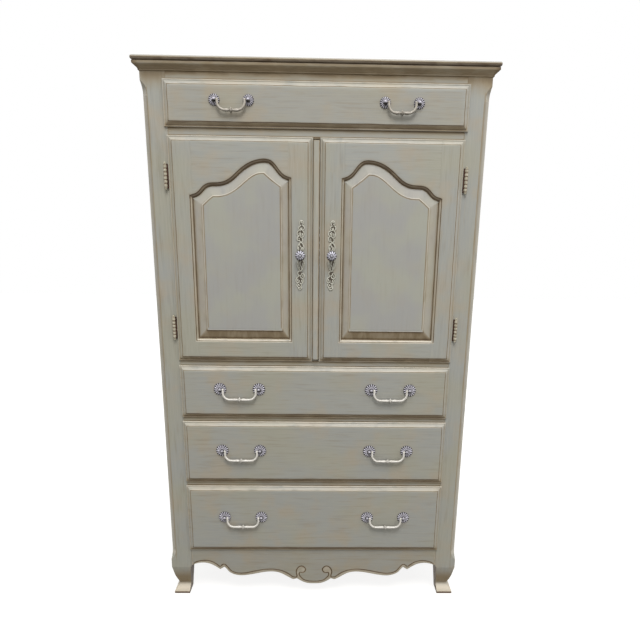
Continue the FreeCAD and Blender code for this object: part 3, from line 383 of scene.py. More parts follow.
@dataclass(frozen=True)
class CreamCasting:
    """Die-cast zinc with cream lacquer, umber left in the hollows: old ironmongery painted over.

    The eye gets a soft gleam on cream that clouds to beige, with dark lines in every groove and painted shade
    under a bail's bar.
    """

    name: str
    cream: str
    shade_tone: str
    umber_and_shade: str = "#4B3C28"
    roughness: float = 0.32
    cloud: float = 7.0
    spot: float = 2.2
    pit: float = 0.8  # a pit is 0.2 mm wide, too fine to show, so it is drawn coarser

    def make(self) -> bpy.types.Material:
        """Build the material."""
        shade = Shade(self.name, self.cream)
        clouds = shade.pattern(self.cloud, detail=3.0, low=0.35, high=0.7)
        shade.coat(self.shade_tone, clouds, 0.7)
        shade.coat(self.umber_and_shade, shade.pattern(self.spot, detail=3.0, low=0.6, high=0.72, shift=4.0), 0.35)
        left = add_node(shade.tree, "ShaderNodeAttribute", attribute_name="glaze_and_shade")
        shade.coat(self.umber_and_shade, left.outputs["Fac"])
        pits = shade.pattern(self.pit, detail=2.0, low=0.3, high=0.7, shift=6.0)
        return shade.finish((self.roughness, self.roughness + 0.18), clouds, pits, 0.04)


@dataclass(frozen=True)
class AntiquePewter:
    """Pewter-plated casting, darkened and buffed: pale lilac grey on the crests, near black below, which is
    patina in the hollows and painted shade on what looks down.
    """

    name: str = "antique_pewter"
    crest: str = "#C3C0C9"
    tarnish: str = "#928E99"
    hollow: str = "#231F1D"
    cloud: float = 5.0
    pit: float = 0.7  # a pit is 0.2 mm wide, too fine to show, so it is drawn coarser

    def make(self) -> bpy.types.Material:
        """Build the material."""
        shade = Shade(self.name, self.crest)
        clouds = shade.pattern(self.cloud, detail=3.0, low=0.4, high=0.7)
        shade.coat(self.tarnish, clouds, 0.6)
        left = add_node(shade.tree, "ShaderNodeAttribute", attribute_name="glaze_and_shade")
        shade.coat(self.hollow, left.outputs["Fac"])
        pits = shade.pattern(self.pit, detail=2.0, low=0.3, high=0.7, shift=6.0)
        return shade.finish((0.34, 0.52), clouds, pits, 0.03, Metallic=0.3)


@dataclass(frozen=True)
class ZincSteel:
    """Zinc-plated steel: a cool grey metal with faint drawn lines."""

    name: str = "zinc_plated_steel"
    light: str = "#A9AAAA"
    dark: str = "#84868A"
    line: float = 0.6  # a drawn line is 0.1 mm wide, too fine to show, so it is drawn coarser

    def make(self) -> bpy.types.Material:
        """Build the material."""
        shade = Shade(self.name, self.light)
        lines = shade.pattern(self.line, Run.UP, 12.0, 2.0, 0.3, 0.7)
        shade.coat(self.dark, lines, 0.6)
        return shade.finish((0.28, 0.42), lines, lines, 0.01, Metallic=1.0)


PAINT_ACROSS = GlazedPaint("glazed_chalk_paint_across", Run.ACROSS).make()
PAINT_UP = GlazedPaint("glazed_chalk_paint_upright", Run.UP).make()
PAINT_DEEP = GlazedPaint("glazed_chalk_paint_side", Run.DEEP).make()
PAINT_POST = GlazedPaint("glazed_chalk_paint_post", Run.UP, foot=True).make()
PAINT_PANEL = GlazedPaint("glazed_chalk_paint_panel", Run.UP, greige="#A6A69A", blue_grey="#A1A09C",
                          warmth=0.16, brushed=0.13, clouds=120.0, patches=60.0).make()
BIRCH = SawnWood("sealed_birch_veneer", Run.ACROSS, "#C3A780", "#9C7E58").make()
PINE_DEEP = SawnWood("planed_pine_side", Run.DEEP, "#D2B48A", "#A98659").make()
BOARD = Hardboard().make()
# Dark zinc on the hinge leaves: painted shadow of the gap beside the knuckles.
ZINC_IN_PAINTED_SHADOW = CreamCasting("zinc_in_painted_shadow", "#7A6450", "#54402E").make()
# One bail lacquer in two copies: darker in painted shade for the top drawer, paler in painted light for the
# lower drawers.
BAIL_CREAM_PAINTED_SHADE = CreamCasting("cream_lacquered_bail", "#BFB8AC", "#9B9387", "#352C1F").make()
BAIL_CREAM_PAINTED_LIGHT = CreamCasting("cream_lacquered_bail_painted_light", "#EFEBE3", "#CCC6BC", "#2E261B").make()
HINGE_CREAM = CreamCasting("cream_lacquered_knuckle", "#C4BDA8", "#938A72", "#4B3420").make()
PLATE_CREAM = CreamCasting("cream_lacquered_plate", "#CECCBF", "#A6A391", "#3D3120").make()
# Near-black zinc on a leaf's edge: painted shadow in the gap by a hinge.
ZINC_EDGE_PAINTED_SHADOW = CreamCasting("zinc_edge_painted_shadow", "#3F200E", "#2A160A", roughness=0.75).make()
PEWTER = AntiquePewter().make()
BUFFED_PEWTER = AntiquePewter("buffed_pewter", "#D8D7E2", "#A8A5B3").make()
STEEL = ZincSteel().make()


# ---------------------------------------------------------------- mesh making


@dataclass(frozen=True)
class Station:
    """One point of a moulding's section.

    inset is how far in from the outline's edge, out how far in front of the face frame.
    """

    inset: float
    out: float
    glaze_and_shade: float = 0.0
    wear_and_highlight: float = 0.0


class Draft:
    """A mesh in millimetres whose points carry glaze with painted shade, and wear with painted highlights."""

    def __init__(self) -> None:
        """Start with nothing."""
        self.points: list[Vector] = []
        self.marks: list[Flat] = []
        self.faces: list[tuple[int, ...]] = []

    def add(self, point: Sequence[float], glaze_and_shade: float = 0.0, wear_and_highlight: float = 0.0) -> int:
        """Add a point.

        Args:
            point: where it is.
            glaze_and_shade: how much glaze and painted shade it carries, from 0 to 1.
            wear_and_highlight: how worn it is, with painted highlight, from 0 to 1.

        Returns:
            Its number.
        """
        self.points.append(Vector(point))
        self.marks.append((min(1.0, max(0.0, glaze_and_shade)), min(1.0, max(0.0, wear_and_highlight))))
        return len(self.points) - 1

    def skin(self, rings: Sequence[Sequence[int]], caps: bool = False) -> None:
        """Join closed rings of equal length one after another with quads.

        Args:
            rings: the points' numbers.
            caps: whether the first and the last ring get a face.
        """
        for first, second in zip(rings, rings[1:]):
            for i, here in enumerate(first):
                j = (i + 1) % len(first)
                self.faces.append((here, first[j], second[j], second[i]))
        if caps:
            self.faces.append(tuple(reversed(rings[0])))
            self.faces.append(tuple(rings[-1]))

    def turned(self, section: Sequence[tuple], centre: Sequence[float], axis: Vector, count: int,
               under: float = 0.0) -> None:
        """Revolve a section about an axis.

        Args:
            section: (radius, distance along the axis, glaze, wear), from one end to the other.
            centre: foot of the axis.
            axis: its direction.
            count: faces around.
            under: painted shade, laid as extra glaze on what looks down.
        """
        side = axis.orthogonal().normalized()
        other = axis.cross(side)
        middle = Vector(centre)
        rings = []
        for radius, along, glaze_and_shade, wear_and_highlight in section:
            if radius < 1e-6:
                rings.append([self.add(middle + axis * along, glaze_and_shade, wear_and_highlight)] * count)
                continue
            spokes = [side * math.cos(math.tau * k / count) + other * math.sin(math.tau * k / count)
                      for k in range(count)]
            rings.append([
                self.add(middle + axis * along + spoke * radius, glaze_and_shade + under * max(0.0, -spoke.z), wear_and_highlight)
                for spoke in spokes
            ])
        self.skin(rings)
        for ring in (rings[0], rings[-1]):
            if ring[0] != ring[1]:
                self.faces.append(tuple(ring))

    def mesh(self, name: str, material: bpy.types.Material, mirror: bool = False,
             sharp: float = 38.0) -> bpy.types.Mesh:
        """Turn the draft into a clean closed mesh in metres.

        Args:
            name: name of the mesh.
            material: its material.
            mirror: whether it is mirrored to the other side of the middle plane.
            sharp: angle in degrees from which an edge is sharp.

        Returns:
            The mesh.
        """
        made = bpy.data.meshes.new(name)
        side = -1.0 if mirror else 1.0
        points = [(p.x * MM * side, p.y * MM, p.z * MM) for p in self.points]
        made.from_pydata(points, [], [tuple(dict.fromkeys(f)) for f in self.faces])
        for label, values in zip(("glaze_and_shade", "wear_and_highlight"), zip(*self.marks)):
            made.attributes.new(label, "FLOAT", "POINT").data.foreach_set("value", values)
        made.materials.append(material)
        return cleaned(made, sharp)


def cleaned(made: bpy.types.Mesh, sharp: float = 38.0) -> bpy.types.Mesh:
    """Merge doubles, drop loose points, point faces outward and mark sharp edges.

    The edges of broad faces are sharp too, so that these are shaded flat beside a rounding.

    Args:
        made: the mesh, changed in place.
        sharp: angle in degrees from which an edge is sharp.

    Returns:
        The same mesh.
    """
    broad = 12.0 * MM  # least mean width of a broad face
    work = bmesh.new()
    work.from_mesh(made)
    bmesh.ops.remove_doubles(work, verts=work.verts, dist=0.002 * MM)
    bmesh.ops.dissolve_degenerate(work, edges=work.edges, dist=0.001 * MM)
    bmesh.ops.delete(work, geom=[v for v in work.verts if not v.link_faces], context="VERTS")
    bmesh.ops.recalc_face_normals(work, faces=work.faces)
    work.to_mesh(made)
    work.free()
    made.shade_smooth()
    made.set_sharp_from_angle(angle=math.radians(sharp))
    spots = [vert.co for vert in made.vertices]
    lengths = {edge.key: (spots[edge.key[0]] - spots[edge.key[1]]).length for edge in made.edges}
    borders = {key for face in made.polygons for key in face.edge_keys
               if face.area > broad * max(lengths[other] for other in face.edge_keys)}
    for edge in made.edges:
        if edge.key in borders:
            edge.use_edge_sharp = True
    return made


def settle(made: bpy.types.Mesh, name: str, body: str, slot: str, *stands_for: str) -> bpy.types.Object:
    """Put a finished mesh in the scene as a piece.

    Args:
        made: the mesh, in place.
        name: name of the piece.
        body: the body that it moves with.
        slot: the record's material slot; not used.
        stands_for: nodes that it replaces.

    Returns:
        The piece.
    """
    piece = bpy.data.objects.new(name, made)
    bpy.context.scene.collection.objects.link(piece)
    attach(piece, body)
    if stands_for:
        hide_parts(*stands_for)
    log.info("%s: %d faces, on %s", name, len(made.polygons), body)
    return piece


def inward(outline: Sequence[Flat]) -> list[Flat]:
    """Mitred step into a closed outline that runs counter-clockwise, for an inset of 1.

    Args:
        outline: its points.

    Returns:
        One step for each point.
    """
    steps = []
    count = len(outline)
    for i, here in enumerate(outline):
        before, after = outline[i - 1], outline[(i + 1) % count]
        first = Vector((here[0] - before[0], here[1] - before[1])).normalized()
        second = Vector((after[0] - here[0], after[1] - here[1])).normalized()
        normal = Vector((-first.y - second.y, first.x + second.x)).normalized()
        steps.append(tuple(normal / max(0.3, normal.dot(Vector((-second.y, second.x))))))
    return steps


def shrinking(outline: Sequence[Flat]) -> list[Flat]:
    """Step toward the middle of an outline's box for an inset of 1 that leaves each point its share.

    Args:
        outline: its points.

    Returns:
        One step for each point.
    """
    across, up = zip(*outline)
    middle = ((min(across) + max(across)) / 2, (min(up) + max(up)) / 2)
    half = ((max(across) - min(across)) / 2, (max(up) - min(up)) / 2)
    return [((middle[0] - x) / half[0], (middle[1] - z) / half[1]) for x, z in outline]


def heading(line: Sequence[Sequence[float]], i: int) -> Vector:
    """Unit step along an open line at its point number i, across and up."""
    before, after = line[max(i - 1, 0)], line[min(i + 1, len(line) - 1)]
    return Vector((after[0] - before[0], after[1] - before[1])).normalized()


def straight(start: Flat, end: Flat, count: int) -> list[Flat]:
    """Points along a line, without its end."""
    return [(start[0] + (end[0] - start[0]) * k / count, start[1] + (end[1] - start[1]) * k / count)
            for k in range(count)]


def rectangle(low: Flat, high: Flat, pitch: float) -> list[Flat]:
    """Counter-clockwise rectangle.

    Args:
        low: its lowest corner.
        high: its highest corner.
        pitch: about how far its points are apart.

    Returns:
        Its points.
    """
    corners = [low, (high[0], low[1]), high, (low[0], high[1])]
    outline = []
    for start, end in zip(corners, corners[1:] + corners[:1]):
        length = math.dist(start, end)
        outline += straight(start, end, max(1, round(length / pitch)))
    return outline


def smooth(points: Sequence[Flat], count: int) -> list[Flat]:
    """Natural cubic curve through the points, at even steps of its own parameter.

    Args:
        points: what it passes through.
        count: steps along it.

    Returns:
        count + 1 points, both ends included.
    """
    knots = [0.0]
    for before, after in zip(points, points[1:]):
        knots.append(knots[-1] + math.dist(before, after))
    axes = [natural_spline(knots, [point[axis] for point in points]) for axis in (0, 1)]
    total = knots[-1]
    return [(axes[0](total * k / count), axes[1](total * k / count)) for k in range(count + 1)]


def natural_spline(knots: Sequence[float], values: Sequence[float]) -> Callable[[float], float]:
    """Cubic interpolation with free ends.

    Args:
        knots: rising parameters.
        values: the value at each.

    Returns:
        A function of the parameter.
    """
    size = len(knots)
    gaps = [knots[i + 1] - knots[i] for i in range(size - 1)]
    slopes = [(values[i + 1] - values[i]) / gaps[i] for i in range(size - 1)]
    factor, bend = [0.0] * size, [0.0] * size
    for i in range(1, size - 1):
        weight = 2 * (gaps[i - 1] + gaps[i]) - gaps[i - 1] * factor[i - 1]
        factor[i] = gaps[i] / weight
        bend[i] = (6 * (slopes[i] - slopes[i - 1]) - gaps[i - 1] * bend[i - 1]) / weight
    for i in range(size - 2, 0, -1):
        bend[i] -= factor[i] * bend[i + 1]

    def value(at: float) -> float:
        """Value of the curve at a parameter."""
        i = max(0, min(size - 2, sum(1 for knot in knots[1:-1] if knot <= at)))
        left, right = at - knots[i], knots[i + 1] - at
        gap = gaps[i]
        return (bend[i] * right ** 3 + bend[i + 1] * left ** 3) / (6 * gap) \
            + (values[i] / gap - bend[i] * gap / 6) * right \
            + (values[i + 1] / gap - bend[i + 1] * gap / 6) * left

    return value


class Tilt(Enum):
    """Which way the slope of a moulding looks, and how much glaze it gets on uprights and on ledges, against
    the painted shade where it looks down.
    """

    OUT = (-1.0, 0.75, 0.35)  # the edge of a drawer or door front
    IN = (1.0, 0.6, 0.15)  # the edge of an opening


def moulding(draft: Draft, outline: Sequence[Flat], section: Sequence[Station], tilt: Tilt,
             ripple: float = 0.0, rub_and_highlight: float = 1.0) -> list[list[int]]:
    """Run a section round an outline on the front.

    Glaze lies thickest where the slope looks down and thin where it looks up: the difference is painted shade
    laid as glaze. Wear is the reverse, and its extra on the ledges is a painted highlight.

    Args:
        draft: the mesh.
        outline: counter-clockwise outline in X and Z.
        section: stations of the section.
        tilt: which way the slope looks.
        ripple: how far hand work moves the inner part of the edge, in millimetres.
        rub_and_highlight: how worn the ledges are, with their painted highlight.

    Returns:
        One ring of points for each station.
    """
    quirk = 0.85  # glaze from which a station keeps some on its ledges too
    start, firm, foot, end = 0.5, 12.0, 14.0, 16.0  # insets: the slope's start, its firm part, its foot
    swell = 45.0  # length of the hand work's waves
    rings = []
    steps = inward(outline)
    moves = shrinking(outline) if tilt is Tilt.OUT else steps
    way, on_uprights, on_ledges = tilt.value
    for station in section:
        ring = []
        for (x, z), (step_x, step_z), (move_x, move_z) in zip(outline, steps, moves):
            length = math.hypot(step_x, step_z)
            looks_up = way * step_z / length
            ledge, under = max(0.0, looks_up), max(0.0, -looks_up)
            upright = 1.0 - ledge - under
            # Painted shade: glaze by which way the slope looks, most where it looks down.
            share = on_uprights * upright + on_ledges * ledge + 1.1 * under
            if station.glaze_and_shade > quirk:
                share = max(share, 0.55 * ledge + 0.85 * upright)
            slope = start < station.inset < end
            mitre = length > 1.2 and foot < station.inset < end
            corner = (0.25 if under > 0.1 else 0.08) if mitre else 0.0
            # Painted shade: 0.36 more on a slope that looks down; a mitre corner gets glaze, more at the
            # lower corners.
            glaze_and_shade = station.glaze_and_shade * share + 0.36 * under * slope + corner
            # Painted highlight: most wear where the slope looks up.
            wear_and_highlight = station.wear_and_highlight * (rub_and_highlight * ledge + 0.3 * upright + 0.1 * under)
            wave = ripple * noise.noise(Vector((x, z, 7.0)) / swell) if station.inset > firm else 0.0
            inset = station.inset + wave
            spot = (x + move_x * inset, FACE - station.out, z + move_z * inset)
            ring.append(draft.add(spot, glaze_and_shade, wear_and_highlight))
        rings.append(ring)
    draft.skin(rings)
    return rings


def plate_between(draft: Draft, outer: Sequence[int], inner: Sequence[int]) -> None:
    """Fill a flat face that has a hole.

    Args:
        draft: the mesh.
        outer: ring round the face.
        inner: ring round the hole.
    """
    rings =[[draft.points[i].xz.to_3d() for i in ring] for ring in (outer, inner)]
    numbers = list(outer) + list(inner)
    for corners in tessellate_polygon(rings):
        draft.faces.append(tuple(numbers[c] for c in corners))


def round_box(draft: Draft, low: Sequence[float], high: Sequence[float], radius: float,
              stations: dict[int, Sequence[float]] | None = None, steps: int = 1,
              glaze_and_shade: Callable[[Vector], float] | None = None, wear_and_highlight: float = 0.7) -> None:
    """A board with rounded edges, whose arrises carry wear.

    Args:
        draft: the mesh.
        low: lowest corner.
        high: highest corner.
        radius: of the edges.
        stations: extra places along an axis where points are wanted.
        steps: how finely each edge is rounded.
        glaze_and_shade: how much glaze and painted shade a place carries.
        wear_and_highlight: how worn the arrises are.
    """
    axes = []
    for axis in range(3):
        bend = [radius * (k / steps) for k in range(steps + 1)]
        near = [low[axis] + step for step in bend]
        far = [high[axis] - step for step in reversed(bend)]
        middle = [s for s in (stations or {}).get(axis, ()) if near[-1] + 0.1 < s < far[0] - 0.1]
        axes.append(near + sorted(middle) + far)
    numbers: dict[tuple[int, int, int], int] = {}
    counts = [len(a) for a in axes]

    def point(i: int, j: int, k: int) -> int:
        """Number of a surface point of the grid, which is added when it is first asked for.

        Args:
            i: its place along X.
            j: its place along Y.
            k: its place along Z.

        Returns:
            The number.
        """
        if (i, j, k) not in numbers:
            spot = Vector((axes[0][i], axes[1][j], axes[2][k]))
            core = Vector([min(max(spot[a], low[a] + radius), high[a] - radius) for a in range(3)])
            away = spot - core
            edge = sum(1 for a in range(3) if abs(away[a]) > 1e-9) > 1
            if away.length > 1e-9:
                spot = core + away.normalized() * radius
            numbers[(i, j, k)] = draft.add(spot, glaze_and_shade(spot) if glaze_and_shade else 0.0, wear_and_highlight if edge else 0.0)
        return numbers[(i, j, k)]

    for axis in range(3):
        first, second = (axis + 1) % 3, (axis + 2) % 3
        for end in (0, counts[axis] - 1):
            for u in range(counts[first] - 1):
                for v in range(counts[second] - 1):
                    corner = [0, 0, 0]
                    face = []
                    for du, dv in ((0, 0), (1, 0), (1, 1), (0, 1)):
                        corner[axis], corner[first], corner[second] = end, u + du, v + dv
                        face.append(point(*corner))
                    draft.faces.append(tuple(face))


def softened(node: str, material: bpy.types.Material, radius: float, glaze_and_shade: float = 0.0,
             wear_and_highlight: float = 0.7) -> bpy.types.Mesh:
    """Copy of a node with rounded arrises that carry glaze and wear.

    Args:
        node: name of the node.
        material: material of the copy.
        radius: width of the rounding in millimetres.
        glaze_and_shade: glaze on the arrises.
        wear_and_highlight: wear on the arrises.

    Returns:
        The new mesh.
    """
    work = bmesh.new()
    work.from_mesh(frame["nodes"][node].data)
    bmesh.ops.remove_doubles(work, verts=work.verts, dist=0.01 * MM)
    flat, keen = math.radians(0.5), math.radians(28.0)  # angles of a flat seam and of an arris
    bmesh.ops.dissolve_limit(work, angle_limit=flat, verts=work.verts, edges=work.edges)
    glaze_and_shade_layer = work.verts.layers.float.new("glaze_and_shade")
    wear_and_highlight_layer = work.verts.layers.float.new("wear_and_highlight")
    arrises = [e for e in work.edges if len(e.link_faces) == 2 and e.calc_face_angle(0.0) > keen]
    result = bmesh.ops.bevel(work, geom=arrises, offset=radius * MM, segments=2, profile=0.5,
                             affect="EDGES", clamp_overlap=True)
    rounded = set(result["faces"])
    for vert in work.verts:
        if all(face in rounded for face in vert.link_faces):
            vert[glaze_and_shade_layer] = glaze_and_shade
            vert[wear_and_highlight_layer] = wear_and_highlight
    made = bpy.data.meshes.new(node + "_softened")
    work.to_mesh(made)
    work.free()
    made.materials.append(material)
    return cleaned(made, 50.0)


# ---------------------------------------------------------------- repeating parts


class Tree:
    """A geometry node tree with named inputs that ends in realised instances and a material."""

    def __init__(self, name: str, sizes: dict[str, str]) -> None:
        """Start a tree.

        Args:
            name: its name.
            sizes: socket type of each named input.
        """
        self.tree = bpy.data.node_groups.new(name, "GeometryNodeTree")
        face = self.tree.interface
        face.new_socket("Geometry", in_out="INPUT", socket_type="NodeSocketGeometry")
        face.new_socket("Geometry", in_out="OUTPUT", socket_type="NodeSocketGeometry")
        self.sockets = {label: face.new_socket(label, in_out="INPUT", socket_type=kind).identifier
                        for label, kind in {**sizes, "Material": "NodeSocketMaterial"}.items()}
        self.input = add_node(self.tree, "NodeGroupInput").outputs

    def close(self, instances: bpy.types.NodeSocket, material: bpy.types.NodeSocket) -> None:
        """End the tree: real geometry, smooth shading and the material.

        Args:
            instances: what it made.
            material: its material.
        """
        real = add_node(self.tree, "GeometryNodeRealizeInstances", {0: instances})
        soft = add_node(self.tree, "GeometryNodeSetShadeSmooth", {"Geometry": real.outputs[0]})
        dressed = add_node(self.tree, "GeometryNodeSetMaterial", {
            "Geometry": soft.outputs[0], "Material": material})
        add_node(self.tree, "NodeGroupOutput", {0: dressed.outputs[0]})

    def grow(self, name: str, places: Sequence[Sequence[float]], **sizes: object) -> bpy.types.Mesh:
        """Run the tree on points and take the plain mesh.

        Args:
            name: name of the mesh.
            places: points in millimetres.
            sizes: value of each named input, with _ for a space.

        Returns:
            The mesh.
        """
        seed = bpy.data.meshes.new(name + "_places")
        seed.from_pydata([Vector(p) * MM for p in places], [], [])
        carrier = bpy.data.objects.new(name + "_carrier", seed)
        bpy.context.scene.collection.objects.link(carrier)
        modifier = carrier.modifiers.new("grow", "NODES")
        modifier.node_group = self.tree
        for label, value in sizes.items():
            modifier[self.sockets[label.replace("_", " ")]] = value
        bpy.context.view_layer.update()
        depsgraph = bpy.context.evaluated_depsgraph_get()
        made = bpy.data.meshes.new_from_object(carrier.evaluated_get(depsgraph))
        carrier.modifiers.remove(modifier)
        bpy.data.objects.remove(carrier)
        made.name = name
        return made


def petal_tree() -> Tree:
    """Ring of petals that faces the front, round each point of the input.

    Returns:
        The tree.
    """
    made = Tree("petal_ring", {
        "Count": "NodeSocketInt", "Ring Radius": "NodeSocketFloat", "Length": "NodeSocketFloat",
        "Width": "NodeSocketFloat", "Height": "NodeSocketFloat", "Lean": "NodeSocketFloat"})
    tree, given = made.tree, made.input
    drop = add_node(tree, "GeometryNodeMeshUVSphere", {"Segments": 10, "Rings": 7, "Radius": 1.0})
    spot = add_node(tree, "GeometryNodeInputPosition")
    height = add_node(tree, "ShaderNodeSeparateXYZ", {0: spot.outputs[0]})
    # A petal is broad at its outer end and narrow at its inner one.
    flare = add_node(tree, "ShaderNodeMath", {0: height.outputs["X"], 1: height.outputs["Y"]},
                     operation="MULTIPLY")
    part = add_node(tree, "ShaderNodeMath", {0: flare.outputs[0], 1: 0.2}, operation="MULTIPLY")
    aside = add_node(tree, "ShaderNodeCombineXYZ", {1: part.outputs[0]})
    flared = add_node(tree, "GeometryNodeSetPosition", {
        "Geometry": drop.outputs["Mesh"], "Offset": aside.outputs[0]})
    hollow = add_node(tree, "ShaderNodeMapRange", {
        "Value": height.outputs["Z"], "From Min": -0.2, "From Max": 0.35, "To Min": 1.0, "To Max": 0.0})
    marked = add_node(tree, "GeometryNodeStoreNamedAttribute", {
        "Geometry": flared.outputs[0], "Name": "glaze_and_shade", "Value": hollow.outputs[0]},
        data_type="FLOAT", domain="POINT")
    size = add_node(tree, "ShaderNodeCombineXYZ", {
        0: given["Length"], 1: given["Width"], 2: given["Height"]})
    petal = add_node(tree, "GeometryNodeTransform", {"Geometry": marked.outputs[0], "Scale": size.outputs[0]})
    circle = add_node(tree, "GeometryNodeMeshCircle", {
        "Vertices": given["Count"], "Radius": given["Ring Radius"]})
    share = add_node(tree, "ShaderNodeMath", {0: math.tau, 1: given["Count"]}, operation="DIVIDE")
    turn = add_node(tree, "ShaderNodeMath", {
        0: add_node(tree, "GeometryNodeInputIndex").outputs[0], 1: share.outputs[0]}, operation="MULTIPLY")
    angles = add_node(tree, "ShaderNodeCombineXYZ", {1: given["Lean"], 2: turn.outputs[0]})
    ring = add_node(tree, "GeometryNodeInstanceOnPoints", {
        "Points": circle.outputs[0], "Instance": petal.outputs[0], "Rotation": angles.outputs[0]})
    rings = add_node(tree, "GeometryNodeInstanceOnPoints", {
        "Points": given["Geometry"], "Instance": ring.outputs[0], "Rotation": (math.pi / 2, 0.0, 0.0)})
    made.close(rings.outputs[0], given["Material"])
    return made


def screw_tree() -> Tree:
    """Slotted screw head on each point of the input, turned at random about its own axis.

    Returns:
        The tree.
    """
    made = Tree("screw_heads", {
        "Radius": "NodeSocketFloat", "Rise": "NodeSocketFloat", "Facing": "NodeSocketFloat",
        "Seed": "NodeSocketInt"})
    tree, given = made.tree, made.input
    head = add_node(tree, "GeometryNodeMeshCone", {
        "Vertices": 16, "Radius Top": 0.72, "Radius Bottom": 1.0, "Depth": 1.0})
    slot = add_node(tree, "GeometryNodeMeshCube", {"Size": (2.4, 0.26, 0.9)})
    lifted = add_node(tree, "GeometryNodeTransform", {
        "Geometry": slot.outputs[0], "Translation": (0, 0, 1.0)})
    cut = add_node(tree, "GeometryNodeMeshBoolean", {
        "Mesh 1": head.outputs["Mesh"], "Mesh 2": lifted.outputs[0]}, operation="DIFFERENCE")
    size = add_node(tree, "ShaderNodeCombineXYZ", {0: given["Radius"], 1: given["Radius"], 2: given["Rise"]})
    angle = add_node(tree, "ShaderNodeCombineXYZ", {0: given["Facing"]})
    # Its vector sockets have the same names as the float ones, so the range is set by number.
    spin = add_node(tree, "FunctionNodeRandomValue", {2: 0.0, 3: math.pi, "Seed": given["Seed"]},
                    data_type="FLOAT")
    set_on = add_node(tree, "GeometryNodeInstanceOnPoints", {
        "Points": given["Geometry"], "Instance": cut.outputs[0], "Rotation": angle.outputs[0],
        "Scale": size.outputs[0]})
    own = add_node(tree, "ShaderNodeCombineXYZ", {2: spin.outputs[1]})
    turned = add_node(tree, "GeometryNodeRotateInstances", {
        "Instances": set_on.outputs[0], "Rotation": own.outputs[0], "Local Space": True})
    made.close(turned.outputs[0], given["Material"])
    return made


PETALS = petal_tree()
SCREWS = screw_tree()
FACING_BACK = -math.pi / 2


# ---------------------------------------------------------------- case


@dataclass
class Crown:
    """Top board and crown moulding."""

    nose_steps: int = 3
    # Section of the moulding: reach from the case, level, glaze (with painted shade on the cove and in the
    # quirk under the top board), wear.
    section: tuple = (
        (0.0, 1745.0, 0.62, 0.0), (2.2, 1745.0, 0.62, 0.0), (3.0, 1745.6, 0.55, 0.0), (3.0, 1747.6, 0.5, 0.0),
        (3.4, 1748.8, 0.68, 0.0), (4.6, 1751.0, 0.6, 0.0), (6.8, 1753.6, 0.54, 0.0), (9.6, 1755.6, 0.54, 0.0),
        (12.0, 1757.2, 0.56, 0.0), (13.6, 1758.6, 0.52, 0.0), (14.5, 1759.6, 0.5, 0.0),
        (14.9, 1760.1, 0.52, 0.0), (15.7, 1760.5, 0.46, 0.0), (16.0, 1761.2, 0.46, 0.0),
        (16.0, 1765.4, 0.52, 0.0), (16.0, 1767.0, 0.6, 0.0), (15.4, 1768.0, 1.0, 0.0),
        (13.0, 1768.4, 1.0, 0.0), (13.0, 1770.0, 1.0, 0.0), (0.0, 1770.0, 1.0, 0.0),
    )

    def make(self) -> None:
        """Build both."""
        self.mould()
        self.top()

    def mould(self) -> None:
        """Run the section round three sides, mitred at the front corners."""
        path = self.path(box_mm("front_post_right")[1].x, box_mm("top_board")[1].y)
        draft = Draft()
        rings = [[draft.add((x + out_x * reach, y + out_y * reach, level), glaze_and_shade + seam, wear_and_highlight)
                  for reach, level, glaze_and_shade, wear_and_highlight in self.section]
                 for (x, y), (out_x, out_y), seam in path]
        draft.skin(rings)
        draft.faces += [tuple(rings[0]), tuple(rings[-1])]
        settle(draft.mesh("crown_moulding_run", PAINT_ACROSS), "crown_moulding_run", "cabinet",
               "painted_wood", "crown_moulding")

    def path(self, half: float, back: float) -> list[tuple[Flat, Flat, float]]:
        """Stations round the case.

        Args:
            half: middle plane to the outer face of a post.
            back: plane of the back.

        Returns:
            Place, outward step and extra glaze of each station.
        """
        seam = 2.5
        stops = [((-half, back), (-1.0, 0.0), 0.0), ((-half, FACE + seam), (-1.0, 0.0), 0.0),
                 ((-half, FACE), (-1.0, -1.0), 0.35), ((-half + seam, FACE), (0.0, -1.0), 0.0)]
        across = [((x, FACE), (0.0, -1.0), 0.0) for x in (-260.0, 0.0, 260.0)]
        mirror = [((-x, y), (-dx, dy), glaze_and_shade) for (x, y), (dx, dy), glaze_and_shade in reversed(stops)]
        return stops + across + mirror

    def top(self) -> None:
        """Board with a full bullnose."""
        low, high = box_mm("top_board")
        draft = Draft()

        def glaze_and_shade(spot: Vector) -> float:
            """Umber glaze and painted shade that thicken from the nose's brow to its underside."""
            return max(0.12, min(1.0, (low.z + 9.6 - spot.z) / 5.0))

        round_box(draft, low, high, 5.5, {0: [-400.0, -150.0, 150.0, 400.0]}, self.nose_steps, glaze_and_shade, 0.15)
        settle(draft.mesh("top_board_dressed", PAINT_ACROSS), "top_board_dressed", "cabinet",
               "painted_wood", "top_board")


